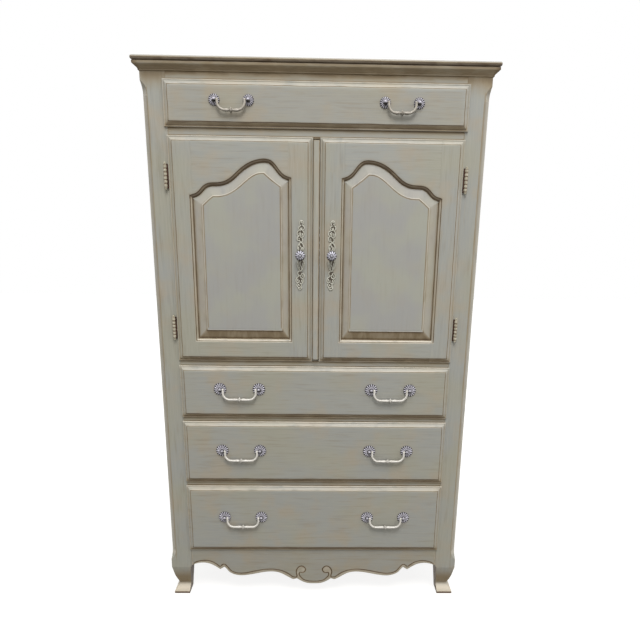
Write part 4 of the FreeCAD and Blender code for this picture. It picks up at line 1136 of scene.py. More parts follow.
@dataclass
class FaceFrame:
    """Rails between the posts, with glaze and painted shadow along the fronts, and glaze at the joints."""

    round: float = 0.8
    line: float = 3.4  # width of the glaze and painted shadow beside a lip
    fade: float = 14.0  # how far the painted shadow fades below what is above
    joint: float = 3.0  # width of the glaze against a post
    overlap: float = 4.0  # how far a front covers the rail beside it
    crown: float = 1745.0  # level of the crown's lower edge, under which painted shadow lies too

    def make(self) -> None:
        """Build the frieze, the rail over the doors and the three lower rails."""
        fronts = [box_mm(f"{title}_drawer_front") for title in ("top", "second", "third", "bottom")]
        lips = [corner.z for front in fronts for corner in front]
        door = box_mm("door_right_bottom_rail")[0].z
        lips += [door, box_mm("door_right_top_rail")[1].z]
        for node, more, film in (("top_rail", [self.crown], 0.32), ("rail_over_doors", [], 0.16)):
            low, high = box_mm(node)
            self.rails(node, [(low.z, high.z)], lips + more, film)
        above = [door, fronts[1][0].z, fronts[2][0].z]
        spans = [(below[1].z - self.overlap, level + self.overlap) for level, below in zip(above, fronts[1:])]
        self.rails("lower_rails", spans, lips, 0.16)

    def rails(self, node: str, spans: Sequence[Flat], lips: Sequence[float], film: float) -> None:
        """Boards from post to post.

        Args:
            node: the node that they stand for.
            spans: lower and upper level of each.
            lips: levels where glaze and painted shadow lie.
            film: thin glaze all over them.
        """
        low, high = box_mm(node)
        draft = Draft()

        def glaze_and_shade(spot: Vector) -> float:
            """Thin glaze all over, glaze with painted shadow beside a lip, glaze against a post, and painted
            shadow fading below what is above.

            Args:
                spot: a place on the board.

            Returns:
                The glaze there.
            """
            near = min(abs(spot.z - lip) for lip in lips)
            above = min((lip - spot.z for lip in lips if lip > spot.z), default=50.0)
            end = min(spot.x - low.x, high.x - spot.x)
            # Painted shadow beside each lip and fading below it; glaze at the joints and thin all over.
            return max(0.95 * (1 - near / self.line), 0.6 * (1 - end / self.joint),
                       film + 0.4 * max(0.0, 1 - above / self.fade))

        beside = (-self.fade, -self.line * 2, -self.line, -1.0, 0.0, 1.0, self.line)
        ends = [low.x + 1.2, low.x + self.joint, high.x - self.joint, high.x - 1.2]
        for bottom, top in spans:
            levels = [lip + step for lip in lips for step in beside if bottom < lip + step < top]
            round_box(draft, (low.x, low.y, bottom), (high.x, high.y, top), self.round,
                      {0: ends, 2: levels}, 1, glaze_and_shade, 0.2)
        name = node + "_dressed"
        settle(draft.mesh(name, PAINT_ACROSS), name, "cabinet", "painted_wood", node)


# Lower edge of the apron, as distance from the middle against level.
APRON_LOBE = ((0, 44.6), (26, 46.5), (48, 56), (62, 65.5))
APRON_WAVE = (
    (76, 61.5), (98, 74), (122, 88), (146, 93.7), (176, 92.5), (210, 86), (245, 79.5), (271, 78.2),
    (292, 83), (309, 93), (318, 105), (325.4, 113.5),
)
APRON_END = ((341, 103.3), (360, 117), (380, 127), (402, 130.5), (424, 127.5), (442, 121))
# Lines cut into its face: a long wave, a scroll that ends in a volute, and the lobe's own line.
CUT_WAVE = (
    (436, 126.5), (431, 131.5), (412.8, 138.3), (394.6, 140.4), (376.7, 138.0), (359, 129.5), (341.5, 114.8),
)
CUT_SCROLL = (
    (341.5, 114.8), (324.4, 124.7), (316.1, 117.3), (302.2, 99), (280.7, 89.0), (245, 90.0),
    (210, 97.5), (176, 103.5), (150, 104.4), (118, 98.5), (95, 86.8), (77.5, 72.6), (63, 73.2),
    (64.6, 92.8), (61.8, 105.3), (53.8, 115), (44.6, 117.5), (34.8, 112), (30.8, 103.7), (34.6, 94.8),
    (43.2, 90.3), (51.8, 91.4), (54, 82.4), (47.3, 71.2), (38.6, 62.3), (24, 56.2), (0, 54.0),
)
# Middle of the volute, which is rubbed.
VOLUTE_EYE = ((54.0, 106.0), (47.0, 107.5), (40.0, 105.0))


@dataclass
class Apron:
    """Scrolled apron with its cut lines."""

    groove: float = 1.6  # half the width of a cut line
    deep: float = 1.5
    film: float = 0.22  # thin glaze all over it
    band: tuple = (0.0, 0.42, 0.42)  # depth, glaze and wear between a line and the edge
    band_top: float = 145.0  # level up to which the edge is rubbed
    soft: float = 2.9  # how far glaze and wear reach from the line's middle
    round: float = 1.4

    def edge(self) -> list[Flat]:
        """Lower edge from the middle to the right-hand post."""
        points = smooth(APRON_LOBE, 16)
        for part, count in ((APRON_WAVE, 56), (APRON_END, 26)):
            points += smooth(part, count)
        return points

    def make(self) -> None:
        """Triangulate the face between its edge and the cut lines, then give it thickness."""
        low, high = box_mm("apron")
        right = self.edge()
        left = [(-x, z) for x, z in reversed(right[1:])]
        outline = left + right + [(high.x, high.z), (low.x, high.z)]
        draft = Draft()
        spots: list[Flat] = []
        marks: list[tuple[float, float, float]] = []
        edges: list[tuple[int, int]] = []
        rows = self.rim(outline, low, high)
        for row, row_marks in rows:
            start = len(spots)
            spots += row
            marks += row_marks
            edges += [(start + i, start + (i + 1) % len(row)) for i in range(len(row))]
        for line in self.lines():
            self.cut_line(line, self.cuts(), spots, marks, edges)
        for side in (1.0, -1.0):
            eye = smooth([(x * side, z) for x, z in VOLUTE_EYE], 6)
            self.cut_line(eye, ((0.0, self.band),), spots, marks, edges)
        found = delaunay_2d_cdt([Vector(s) for s in spots], edges, [list(range(len(rows[0][0])))], 1, 1e-4)
        numbers = []
        for place, origins in zip(found[0], found[3]):
            depth, glaze_and_shade, wear_and_highlight = max((marks[o] for o in origins), default=(0.0, 0.0, 0.0))
            numbers.append(draft.add((place.x, FACE + depth, place.y), glaze_and_shade, wear_and_highlight))
        for triangle in found[2]:
            draft.faces.append(tuple(numbers[i] for i in triangle))
        self.thicken(draft, rows[0][0], numbers, found, high.y)
        settle(draft.mesh("apron_carved", PAINT_ACROSS), "apron_carved", "cabinet", "painted_wood", "apron")

    def rim(self, outline: Sequence[Flat], low: Vector, high: Vector) -> list[tuple]:
        """The face's outline, drawn in a little so that its arris can be rounded, and a row inside it.

        Args:
            outline: the board's outline.
            low: the board's lowest corner.
            high: its highest corner.

        Returns:
            The points of each row, and what they carry.
        """
        steps = inward(outline)
        arris = (0.15, 0.35, 0.5)  # depth, glaze and wear
        rows = []
        for inset, margin, mark in ((self.round * 0.6, 0.0, arris), (self.soft * 1.3, 1.5, self.band)):
            row = [(min(max(x + dx * inset, low.x + margin), high.x - margin),
                    min(z + dz * inset, high.z - margin)) for (x, z), (dx, dz) in zip(outline, steps)]
            rows.append((row, [mark if z < self.band_top else (0.0, self.film, 0.0) for _, z in row]))
        return rows

    def lines(self) -> list[list[Flat]]:
        """Cut lines of both halves, each with the edge on its left."""
        wave = smooth(CUT_WAVE, 34)
        scroll = smooth(CUT_SCROLL[:12], 60)[:-1] + smooth(CUT_SCROLL[11:], 78)
        return [wave, [(-x, z) for x, z in reversed(wave)],
                scroll + [(-x, z) for x, z in reversed(scroll[:-1])]]

    def cuts(self) -> tuple:
        """Distance from a line's middle, to its left, against depth, glaze and wear."""
        return ((0.0, (self.deep, 1.0, 0.0)), (self.groove, (0.0, 0.7, 0.0)),
                (-self.groove, (0.0, 0.75, 0.0)), (self.soft, self.band),
                (-self.soft, (0.0, self.film, 0.0)))

    @staticmethod
    def cut_line(line: Sequence[Flat], offsets: Sequence[tuple], spots: list, marks: list,
                 edges: list) -> None:
        """Add rows of points beside a line as edges of the triangulation.

        Args:
            line: its points.
            offsets: distance of each row to the left of the line, and what its points carry.
            spots: all points so far.
            marks: depth, glaze and wear of each.
            edges: all edges so far.
        """
        for offset, mark in offsets:
            start = len(spots)
            for i, (x, z) in enumerate(line):
                run = heading(line, i)
                spots.append((x - run.y * offset, z + run.x * offset))
                marks.append(mark)
            edges += [(start + i, start + i + 1) for i in range(len(line) - 1)]

    def thicken(self, draft: Draft, row: Sequence[Flat], numbers: Sequence[int], found: tuple,
                back: float) -> None:
        """Close the board behind its face.

        Args:
            draft: the mesh.
            row: the face's outline.
            numbers: the draft's numbers of the triangulation's points.
            found: the triangulation.
            back: plane of the board's back.
        """
        first = {}
        for number, origins in zip(numbers, found[3]):
            for origin in origins:
                if origin < len(row):
                    first[origin] = number
        front = [first[i] for i in range(len(row))]
        low, high = box_mm("apron")
        outer = []
        for (x, z), (dx, dz) in zip(row, inward(row)):
            spot_x = min(max(x - dx * self.round * 0.6, low.x), high.x)
            spot_z = min(z - dz * self.round * 0.6, high.z)
            outer.append(draft.add((spot_x, FACE + self.round, spot_z), 0.1, 0.35))
        rear = [draft.add((draft.points[i].x, back, draft.points[i].z), 0.3, 0.0) for i in outer]
        draft.skin([front, outer, rear])
        draft.faces.append(tuple(rear))


@dataclass
class Case:
    """Posts, side panels, back and everything of the case that keeps its own shape."""

    arris: float = 496.5  # where a front post's chamfer starts, from the middle plane
    line: float = 0.42  # glaze along it
    rub_and_highlight: float = 0.55  # wear and painted highlight on the chamfer
    knee: float = 112.0  # level where a foot starts
    inside: float = 0.85  # painted shade on the inner side of a foot, laid as glaze
    film: float = 0.5  # thin glaze and painted shade on a front post under the crown
    let_in: float = 0.7  # of the back panel
    screw: float = 3.4  # radius of a screw's head

    def make(self) -> None:
        """Soften what shows and dress the rest."""
        for node, side in (("front_post_right", 1.0), ("front_post_left", -1.0)):
            made = self.lined(softened(node, PAINT_POST, 2.2, 0.6, 0.0), side)
            settle(made, node + "_dressed", "cabinet", "painted_wood", node)
        for node, paint, radius in (("rear_posts", PAINT_UP, 1.5), ("side_aprons", PAINT_DEEP, 1.2)):
            settle(softened(node, paint, radius), node + "_dressed", "cabinet", "painted_wood", node)
        for material, nodes in ((PAINT_UP, ("side_panel_right", "side_panel_left")),
                                (BIRCH, ("tv_deck", "compartment_ceiling", "tv_shelf")),
                                (PINE_DEEP, ("drawer_runners",)),
                                (STEEL, ("shelf_pins", "door_catches")),
                                # Dark hinge leaves: painted shadow beside the knuckles.
                                (ZINC_IN_PAINTED_SHADOW, ("hinge_leaves_frame",)),
                                (HINGE_CREAM, ("hinge_pins",))):
            for node in nodes:
                self.dress(node, material)
        self.back_board()
        self.back_screws()

    def lined(self, made: bpy.types.Mesh, side: float) -> bpy.types.Mesh:
        """Line a post's chamfer with glaze, rub the chamfer with a painted highlight, and paint shade toward
        the crown and on the foot's inner side.

        Args:
            made: the post's mesh, changed in place.
            side: 1 for the right-hand post, -1 for the left-hand one.

        Returns:
            The same mesh.
        """
        work = bmesh.new()
        work.from_mesh(made)
        # Cuts give points where a tone starts and where it is full: both sides of the line, then levels.
        cuts = [(Vector((side * (self.arris - step) * MM, 0, 0)), Vector((1, 0, 0))) for step in (3.4, 1.0)]
        levels = (178.0, 190.0, 1668.0, 1680.0, 1706.0, 1734.0)
        cuts += [(Vector((0, 0, level * MM)), Vector((0, 0, 1))) for level in levels]
        top = 1681.0  # level from which glaze and painted shade thicken toward the crown, over 53 mm
        for spot, normal in cuts:
            bmesh.ops.bisect_plane(work, geom=work.verts[:] + work.edges[:] + work.faces[:],
                                   plane_co=spot, plane_no=normal)
        glaze_and_shade = work.verts.layers.float["glaze_and_shade"]
        wear_and_highlight = work.verts.layers.float["wear_and_highlight"]
        for vert in work.verts:
            x, y, z = vert.co.x * side / MM, vert.co.y / MM, vert.co.z / MM
            along = 160.0 < z < 1700.0
            if along and y < FACE + 1.0 and x > self.arris - 3.3:
                vert[glaze_and_shade] = self.line
            # Wear and painted highlight on the chamfer.
            elif along and x > self.arris + 1.0:
                vert[wear_and_highlight] = self.rub_and_highlight
            # Glaze and painted shade under the crown.
            if z > top:
                vert[glaze_and_shade] = max(vert[glaze_and_shade], self.film * min(1.0, (z - top) / 53.0))
            # Painted shade on the inner side of the foot.
            if z < self.knee + 1.0 and all(face.normal.x * side < -0.6 for face in vert.link_faces):
                vert[glaze_and_shade] = self.inside
        work.to_mesh(made)
        work.free()
        return made

    def back_board(self) -> None:
        """Back panel with eased edges, let in so that its screws don't stand past the posts."""
        made = softened("back_panel", BOARD, 0.8, 0.0, 0.0)
        outside = box_mm("back_panel")[1].y
        for vert in made.vertices:
            if vert.co.y / MM > outside - 0.1:
                vert.co.y -= self.let_in * MM
        settle(made, "back_panel_dressed", "cabinet", "back_board", "back_panel")

    @staticmethod
    def dress(node: str, material: bpy.types.Material) -> None:
        """Give a node that keeps its shape its material.

        Args:
            node: name of the node.
            material: the material.
        """
        piece = frame["nodes"][node]
        piece.data.materials.clear()
        piece.data.materials.append(material)
        log.info("%s: kept", node)

    def back_screws(self) -> None:
        """Screws round the back panel."""
        low, high = box_mm("back_panel")
        margin, pitch, rise = 7.5, 160.0, 1.4
        outline = rectangle((low.x + margin, low.z + margin), (high.x - margin, high.z - margin), pitch)
        places = [(x, high.y - rise - 0.1, z) for x, z in outline]
        made = SCREWS.grow("back_screws", places, Radius=self.screw * MM, Rise=rise * MM,
                           Facing=FACING_BACK, Seed=5, Material=STEEL)
        settle(made, "back_screws", "cabinet", "steel")


# ---------------------------------------------------------------- drawer and door fronts

# Moulded edge of a front: a bead on the lip, a quirk, an ogee and a small step up to the field.
LIP = (
    Station(0.0, 0.6, 0.9), Station(0.0, 3.0, 0.55, 0.1), Station(0.5, 4.6, 0.1, 0.7),
    Station(1.8, 5.5, 0.1, 0.7), Station(3.1, 5.4, 0.2, 0.5), Station(4.0, 5.1, 0.35, 0.3),
    Station(4.6, 4.9, 0.5, 0.2), Station(5.6, 4.9, 0.5, 0.2), Station(6.1, 5.3, 0.3, 0.3),
    Station(7.4, 6.7, 0.2, 0.3), Station(9.6, 8.3, 0.2, 0.3), Station(11.6, 9.7, 0.2, 0.4),
    Station(13.1, 11.0, 0.2, 0.7), Station(14.0, 11.4, 0.4, 0.5), Station(14.5, 11.2, 0.95),
    Station(15.6, 11.2, 1.0), Station(15.9, 12.0, 0.6, 0.1), Station(16.5, 12.35, 0.2, 0.1),
    Station(19.0, 12.4, 0.12), Station(27.0, 12.4),
)
OVERLAP = 5.0  # lip past the rebated back
REBATE = -7.5


def close_front(draft: Draft, outline: Sequence[Flat], first: Sequence[int],
                overlap: float = OVERLAP) -> list[int]:
    """Rebated back of a front.

    Args:
        draft: the mesh.
        outline: outline of the lip.
        first: ring at the back of the lip.
        overlap: how far the lip stands past the rebated back.

    Returns:
        The last ring, on the back face.
    """
    rings = [list(first)]
    steps = inward(outline)
    for inset, out, glaze_and_shade in ((overlap, 0.6, 0.3), (overlap, REBATE, 0.0)):
        rings.append([draft.add((x + dx * inset, FACE - out, z + dz * inset), glaze_and_shade)
                      for (x, z), (dx, dz) in zip(outline, steps)])
    draft.skin(rings)
    return rings[-1]


@dataclass
class Drawer:
    """One drawer: moulded front, pine box, and two pulls."""

    title: str
    span: float  # between the centres of a pull's two rosettes
    rosette: float
    film: float  # thin glaze left all over the field
    rub_and_highlight: float = 1.2  # wear and painted highlight on the ledge at its top
    wide_lip: float = 0.0  # how much further the lip reaches at each end
    bail: bpy.types.Material = BAIL_CREAM_PAINTED_LIGHT
    drop: float = 34.0  # of a bail below its pivot
    pitch: float = 13.0

    def make(self) -> None:
        """Build the drawer."""
        low, high = box_mm(self.title + "_front")
        draft = Draft()
        outline = rectangle((low.x - self.wide_lip, low.z), (high.x + self.wide_lip, high.z), self.pitch)
        rings = moulding(draft, outline, LIP, Tilt.OUT, 0.9, self.rub_and_highlight)
        for number in rings[-1]:
            draft.marks[number] = (self.film, 0.0)
        draft.faces.append(tuple(rings[-1]))
        draft.faces.append(tuple(close_front(draft, outline, rings[0], OVERLAP + self.wide_lip)))
        name = self.title + "_front_moulded"
        settle(draft.mesh(name, PAINT_ACROSS), name, self.title, "painted_wood", self.title + "_front")
        Case.dress(self.title + "_box", PINE_DEEP)
        Case.dress(self.title + "_bottom", BIRCH)
        self.rosettes()
        for side in ("left", "right"):
            Bail(f"{self.title}_{side}_handle", self.span, self.drop, self.bail).make()

    def rosettes(self) -> None:
        """Fluted rosettes: a turned dish, a ring of petals, a button and the bail's post."""
        field_y = box_mm(self.title + "_front")[0].y
        places = []
        for side in ("left", "right"):
            centre = pivot_mm(f"{self.title}_{side}_handle")
            places += [(centre.x + self.span / 2 * end, field_y, centre.z) for end in (-1, 1)]
        rim = self.rosette
        section = (
            (0.0, 0.0, 1.0, 0.0), (rim * 1.0, 0.0, 1.0, 0.0), (rim * 1.02, 0.9, 0.9, 0.0),
            (rim * 0.96, 1.7, 1.0, 0.0), (rim * 0.62, 2.4, 1.0, 0.0), (rim * 0.46, 3.8, 0.5, 0.0),
            (rim * 0.4, 4.8, 0.2, 0.0), (rim * 0.33, 5.0, 0.8, 0.0), (5.0, 5.6, 0.9, 0.0),
            (4.0, 7.2, 0.6, 0.0), (3.9, 8.5, 0.5, 0.0), (4.8, 9.4, 0.3, 0.0), (5.0, 11.2, 0.2, 0.0),
            (4.2, 12.8, 0.15, 0.0), (2.4, 13.7, 0.1, 0.0), (0.0, 14.0, 0.2, 0.0),
        )
        draft = Draft()
        for place in places:
            # 1.3: painted shade on the lower half of each rosette.
            draft.turned(section, place, Vector((0, -1, 0)), 28, 1.3)
        name = self.title + "_rosette_dishes"
        settle(draft.mesh(name, PEWTER), name, self.title, "pewter_hardware", self.title + "_rosettes")
        raised = [(x, y - 2.2, z) for x, y, z in places]
        made = PETALS.grow(self.title + "_rosette_petals", raised, Count=16, Ring_Radius=rim * 0.7 * MM,
                           Length=rim * 0.35 * MM, Width=rim * 0.095 * MM, Height=2.6 * MM, Lean=0.12,
                           Material=PEWTER)
        settle(made, self.title + "_rosette_petals", self.title, "pewter_hardware")


@dataclass
class Bail:
    """Drop handle: a bow that swells and thins along its flat, with a reel in the middle."""

    node: str
    span: float
    drop: float
    finish: bpy.types.Material
    stout: float = 1.22  # how much thicker the bar is than its section says
    inset: float = 10.0
    bend: float = 22.0
    sides: int = 14

    def radius(self, along: float) -> float:
        """Radius of the bar at a distance from its middle.

        Args:
            along: distance from the middle of the bow.

        Returns:
            The radius.
        """
        reel = ((1.0, 6.2), (1.9, 5.2), (2.4, 3.1), (3.1, 2.9), (3.6, 3.7), (4.9, 3.5), (5.6, 2.9),
                (7.0, 2.9), (11.0, 3.6), (16.0, 3.7), (22.0, 3.0), (27.0, 2.9), (40.0, 2.9), (200.0, 2.5))
        at, last = abs(along), (0.0, 7.2)
        for stop in reel:
            if at <= stop[0]:
                share = (at - last[0]) / (stop[0] - last[0])
                return last[1] + (stop[1] - last[1]) * share
            last = stop
        return reel[-1][1]

    def path(self, reach: float) -> list[tuple[float, float, float]]:
        """Half of the bow from its middle: distance across, level under the pivot, distance along.

        Args:
            reach: from the middle to the upright.

        Returns:
            Its stations.
        """
        flat = reach - self.bend
        stops = [0.0, 0.9, 1.0, 1.9, 2.4, 2.8, 3.1, 3.6, 4.2, 4.9, 5.6, 6.2, 7.0, 9.0, 11.0, 13.5,
                 16.0, 19.0, 22.0]
        line = [(x, -self.drop, x) for x in stops if x <= flat]
        steps = 14
        for k in range(1, steps + 1):
            turn = math.pi / 2 * k / steps
            line.append((flat + self.bend * math.sin(turn), -self.drop + self.bend * (1 - math.cos(turn)),
                         flat + self.bend * turn))
        top = flat + self.bend * math.pi / 2
        line.append((reach, -self.drop + self.bend + 4.0, top + 4.0))
        line.append((reach, 0.0, top + self.drop - self.bend))
        return line

    def make(self) -> None:
        """Sweep the bar, then add an eye and a stub at each end."""
        pivot = pivot_mm(self.node)
        reach = self.span / 2 - self.inset
        half = self.path(reach)
        whole = [(-x, z, -s) for x, z, s in reversed(half[1:])] + half
        draft = Draft()
        rings = []
        for i, (x, z, along) in enumerate(whole):
            before, after = whole[max(i - 1, 0)], whole[min(i + 1, len(whole) - 1)]
            run = Vector((after[0] - before[0], 0.0, after[1] - before[1])).normalized()
            side = run.cross(Vector((0, 1, 0)))
            size = self.radius(along) * self.stout
            ring = []
            for k in range(self.sides):
                angle = math.tau * k / self.sides
                away = side * math.cos(angle) + Vector((0, 1, 0)) * math.sin(angle)
                # Painted shade: glaze on the bar's underside and back.
                under = max(0.0, away.y) * 0.9 + max(0.0, -away.z) * 0.95
                groove = 0.55 if abs(abs(along) - 2.8) < 0.45 or abs(abs(along) - 6.2) < 0.7 else 0.0
                ring.append(draft.add(Vector((x, 0.0, z)) + pivot + away * size, max(under, groove)))
            rings.append(ring)
        draft.skin(rings, caps=True)
        eye = ((0.0, -3.2, 0.4, 0.0), (2.6, -3.2, 0.4, 0.0), (3.4, -2.2, 0.1, 0.0), (3.6, 0.0, 0.0, 0.0),
               (3.4, 2.2, 0.1, 0.0), (2.6, 3.2, 0.4, 0.0), (0.0, 3.2, 0.4, 0.0))
        stub = ((0.0, 2.8, 0.6, 0.0), (1.8, 2.8, 0.6, 0.0), (1.8, 8.0, 0.8, 0.0), (0.0, 8.0, 0.8, 0.0))
        for end in (-1.0, 1.0):
            place = pivot + Vector((reach * end, 0, 0))
            draft.turned(eye, place, Vector((1, 0, 0)), 16)
            draft.turned(stub, place, Vector((end, 0, 0)), 12)
        name = self.node + "_bow"
        settle(draft.mesh(name, self.finish), name, self.node, "cream_hardware", self.node)


# Arched head of a door's opening, and of the field in its panel, which has two corners:
# each stretch as a number of steps and points, distance from the middle plane against level.
ARCH = ((120, (
    (385, 1402.5), (362, 1411), (343, 1429.5), (328, 1437.5), (300, 1440), (270, 1448), (240, 1472),
    (205, 1497), (163, 1509), (139, 1506), (118, 1486.5), (98, 1465), (75.5, 1456.5),
)),)
FIELD_ARCH = (
    (23, ((347.5, 1373.5), (329, 1390), (315, 1401))),
    (70, ((315, 1401), (285, 1403), (241, 1424.5), (204, 1454.5), (178, 1468), (158, 1470))),
    (27, ((158, 1470), (134, 1450), (107, 1430.5))),
)
# Edge of a door's opening, from the frame's flat face down to the panel.
STICKING = (
    Station(-9.0, 12.4), Station(-2.2, 12.4, 0.22), Station(-0.5, 12.4, 0.2, 0.3),
    Station(0.1, 12.1, 0.2, 0.6), Station(0.6, 11.3, 0.8), Station(1.2, 10.4, 1.0),
    Station(2.4, 10.0, 1.0), Station(3.0, 10.5, 0.7, 0.5), Station(4.4, 10.3, 0.5, 0.9),
    Station(5.8, 9.2, 0.6, 0.9), Station(7.2, 7.6, 0.7, 0.5), Station(8.2, 6.6, 1.0),
    Station(9.6, 5.4, 1.0), Station(10.0, 4.4, 1.0), Station(10.0, 2.0, 1.0), Station(10.0, REBATE, 0.3),
)


@dataclass
class Door:
    """One door: two stiles, two rails, a raised panel and the fittings."""

    side: str
    sill_height: float = 65.5  # flat face of the bottom rail
    field_height: float = 103.0  # lower edge of the panel's field over the door's
    hinges: Flat = (1456.0, 994.0)  # their levels
    mirror: bool = field(init=False)
    body: str = field(init=False)

    def __post_init__(self) -> None:
        """A left-hand door is the mirror image of the right-hand one."""
        self.mirror = self.side == "left"
        self.body = f"{self.side}_door"

    def node(self, part: str) -> str:
        """Name of one of the door's nodes."""
        return f"door_{self.side}_{part}"

    def opening(self, arch: Sequence[tuple], low: float) -> list[Flat]:
        """Outline of the opening or of the field under an arch.

        Args:
            arch: stretches of its head, from the outer side to the inner one.
            low: level of its lower edge.

        Returns:
            Its points, counter-clockwise, the same number for every arch.
        """
        start, end = arch[0][1][0], arch[-1][1][-1]
        outline = straight((end[0], low), (start[0], low), 24)
        outline += straight((start[0], low), start, 36)
        for steps, points in arch:
            outline += smooth(points, steps)[:-1]
        return outline + straight(end, (end[0], low), 40)

    def make(self) -> None:
        """Build the door."""
        sill = box_mm("door_right_bottom_rail")[0].z
        self.frame_pieces(sill)
        self.panel(sill)
        Backplate(self.side, self.body).make()
        Knob(self.side, self.body).make()
        # Dark leaves: painted shadow beside the knuckles.
        Case.dress(self.node("hinge_leaves"), ZINC_IN_PAINTED_SHADOW)
        for level in self.hinges:
            Hinge(self.side, level).make()

    def frame_pieces(self, sill: float) -> None:
        """The frame in one, then sawn into its stiles and rails.

        Args:
            sill: level of the door's lower edge.
        """
        low, high = box_mm("door_right_stiles")
        outline = rectangle((low.x, low.z), (high.x, high.z), 13.0)
        opening = self.opening(ARCH, sill + self.sill_height)
        draft = Draft()
        edge = moulding(draft, outline, LIP, Tilt.OUT, 0.7, 0.8)
        hole = moulding(draft, opening, STICKING, Tilt.IN, 0.0, 1.3)
        plate_between(draft, edge[-1], hole[0])
        plate_between(draft, close_front(draft, outline, edge[0]), hole[-1])
        whole = draft.mesh(self.node("frame"), PAINT_UP, self.mirror)
        head = ARCH[0][1]
        inner, outer = head[-1][0] + 10.0, head[0][0] - 10.0
        middle = (low.z + high.z) / 2
        parts = {
            "stiles": [((inner, None), (None, None)), ((None, outer), (None, None))],
            "top_rail": [((outer, inner), (None, middle))],
            "bottom_rail": [((outer, inner), (middle, None))],
        }
        for part, rooms in parts.items():
            material = PAINT_UP if part == "stiles" else PAINT_ACROSS
            made = self.sawn(whole, rooms, material, part)
            settle(made, self.node(part) + "_moulded", self.body, "painted_wood", self.node(part))
        bpy.data.meshes.remove(whole)

    def sawn(self, whole: bpy.types.Mesh, rooms: Sequence[tuple], material: bpy.types.Material,
             part: str) -> bpy.types.Mesh:
        """Part of the frame between joints.

        Args:
            whole: the frame's mesh.
            rooms: for each piece, the greatest and least X and the greatest and least level, or None.
            material: material of the part.
            part: name of the part.

        Returns:
            The part's mesh.
        """
        out = bmesh.new()
        for (most_x, least_x), (most_z, least_z) in rooms:
            work = bmesh.new()
            work.from_mesh(whole)
            for axis, limit, sign in ((0, most_x, 1.0), (0, least_x, -1.0),
                                      (2, most_z, 1.0), (2, least_z, -1.0)):
                if limit is not None:
                    self.saw(work, axis, limit, sign)
            piece = bpy.data.meshes.new("sawn_piece")
            work.to_mesh(piece)
            work.free()
            out.from_mesh(piece)
            bpy.data.meshes.remove(piece)
        made = bpy.data.meshes.new(self.node(part))
        out.to_mesh(made)
        out.free()
        made.materials.append(material)
        return cleaned(made)

    def saw(self, work: bmesh.types.BMesh, axis: int, limit: float, sign: float) -> None:
        """Cut away what lies past a joint, close the cut and stain its arris.

        Args:
            work: the mesh.
            axis: 0 for a cut across X, 2 for one across Z.
            limit: where the joint is, in millimetres on the right-hand door.
            sign: 1 to keep what is below the limit, -1 to keep what is above.
        """
        flip = -1.0 if self.mirror and axis == 0 else 1.0
        normal = Vector((0, 0, 0))
        normal[axis] = sign * flip
        layer = work.verts.layers.float["glaze_and_shade"]
        # The first cut only gives the stain an inner edge, the second leaves a fine gap at the joint.
        for back, clear in ((1.5, False), (0.08, True)):
            spot = Vector((0, 0, 0))
            spot[axis] = (limit - sign * back) * flip * MM
            result = bmesh.ops.bisect_plane(work, geom=work.verts[:] + work.edges[:] + work.faces[:],
                                            plane_co=spot, plane_no=normal, clear_outer=clear)
        edges = [e for e in result["geom_cut"] if isinstance(e, bmesh.types.BMEdge)]
        for edge in edges:
            for vert in edge.verts:
                vert[layer] = max(vert[layer], 0.12)
        bmesh.ops.triangle_fill(work, edges=edges, use_beauty=True)

    def panel(self, sill: float) -> None:
        """Raised panel: a bevel from the frame to a field whose edge is rubbed and lined, with painted shade
        where it looks down and painted highlight where it looks up.

        Args:
            sill: level of the door's lower edge.
        """
        hidden = 9.0  # how far the sight edge is in from the opening's
        sight = self.opening(ARCH, sill + self.sill_height)
        sight = [(x + dx * hidden, z + dz * hidden) for (x, z), (dx, dz) in zip(sight, inward(sight))]
        rim = self.opening(FIELD_ARCH, sill + self.field_height)
        draft = Draft()
        steps = inward(rim)
        back = FACE + 2.0
        bare = 8.0  # glaze reaches this far in on the back
        rings = [[draft.add((x + dx * bare, back, z + dz * bare))
                  for (x, z), (dx, dz) in zip(sight, shrinking(sight))],
                 [draft.add((x, back, z), 0.5) for x, z in sight]]
        # Share of the way from the sight edge to the field's, distance in front, glaze and wear.
        slope = ((0.0, 3.6, 1.0, 0.0), (0.06, 4.4, 0.9, 0.0), (0.14, 5.2, 0.2, 0.0), (0.3, 6.3, 0.0, 0.2),
                 (0.6, 8.0, 0.0, 0.3), (0.84, 9.4, 0.05, 0.35), (0.93, 9.8, 0.4, 0.1),
                 (0.96, 10.4, 0.1, 0.8), (1.0, 11.0, 0.0, 1.0))
        for share, out, glaze_and_shade, wear_and_highlight in slope:
            ring = []
            for (x, z), (far_x, far_z), (step_x, step_z) in zip(sight, rim, steps):
                looks_up = -step_z / math.hypot(step_x, step_z)
                ledge, under = max(0.0, looks_up), max(0.0, -looks_up)
                upright = 1.0 - ledge - under
                # Painted shade: extra glaze where the bevel looks down; painted highlight: extra wear where
                # it looks up.
                dark = glaze_and_shade * (0.55 + 0.5 * under) + (0.27 * upright + 0.6 * under) * (share > 0.1)
                if share > 0.9:
                    dark += 0.4 * under
                bright = wear_and_highlight * (0.45 * upright + 0.75 * ledge)
                spot = (x + (far_x - x) * share, FACE - out, z + (far_z - z) * share)
                ring.append(draft.add(spot, dark, bright))
            rings.append(ring)
        line = ((1.2, 11.1, 0.2, 0.4), (2.0, 10.9, 0.45, 0.0), (3.0, 10.5, 0.6, 0.0),
                (4.2, 10.7, 0.4, 0.0), (5.6, 11.0, 0.12, 0.0), (8.0, 11.0, 0.0, 0.0))
        for inset, out, glaze_and_shade, wear_and_highlight in line:
            even = min(inset, 4.2)  # an even inset past this would cross itself in the arch's corners
            rest = inset - even
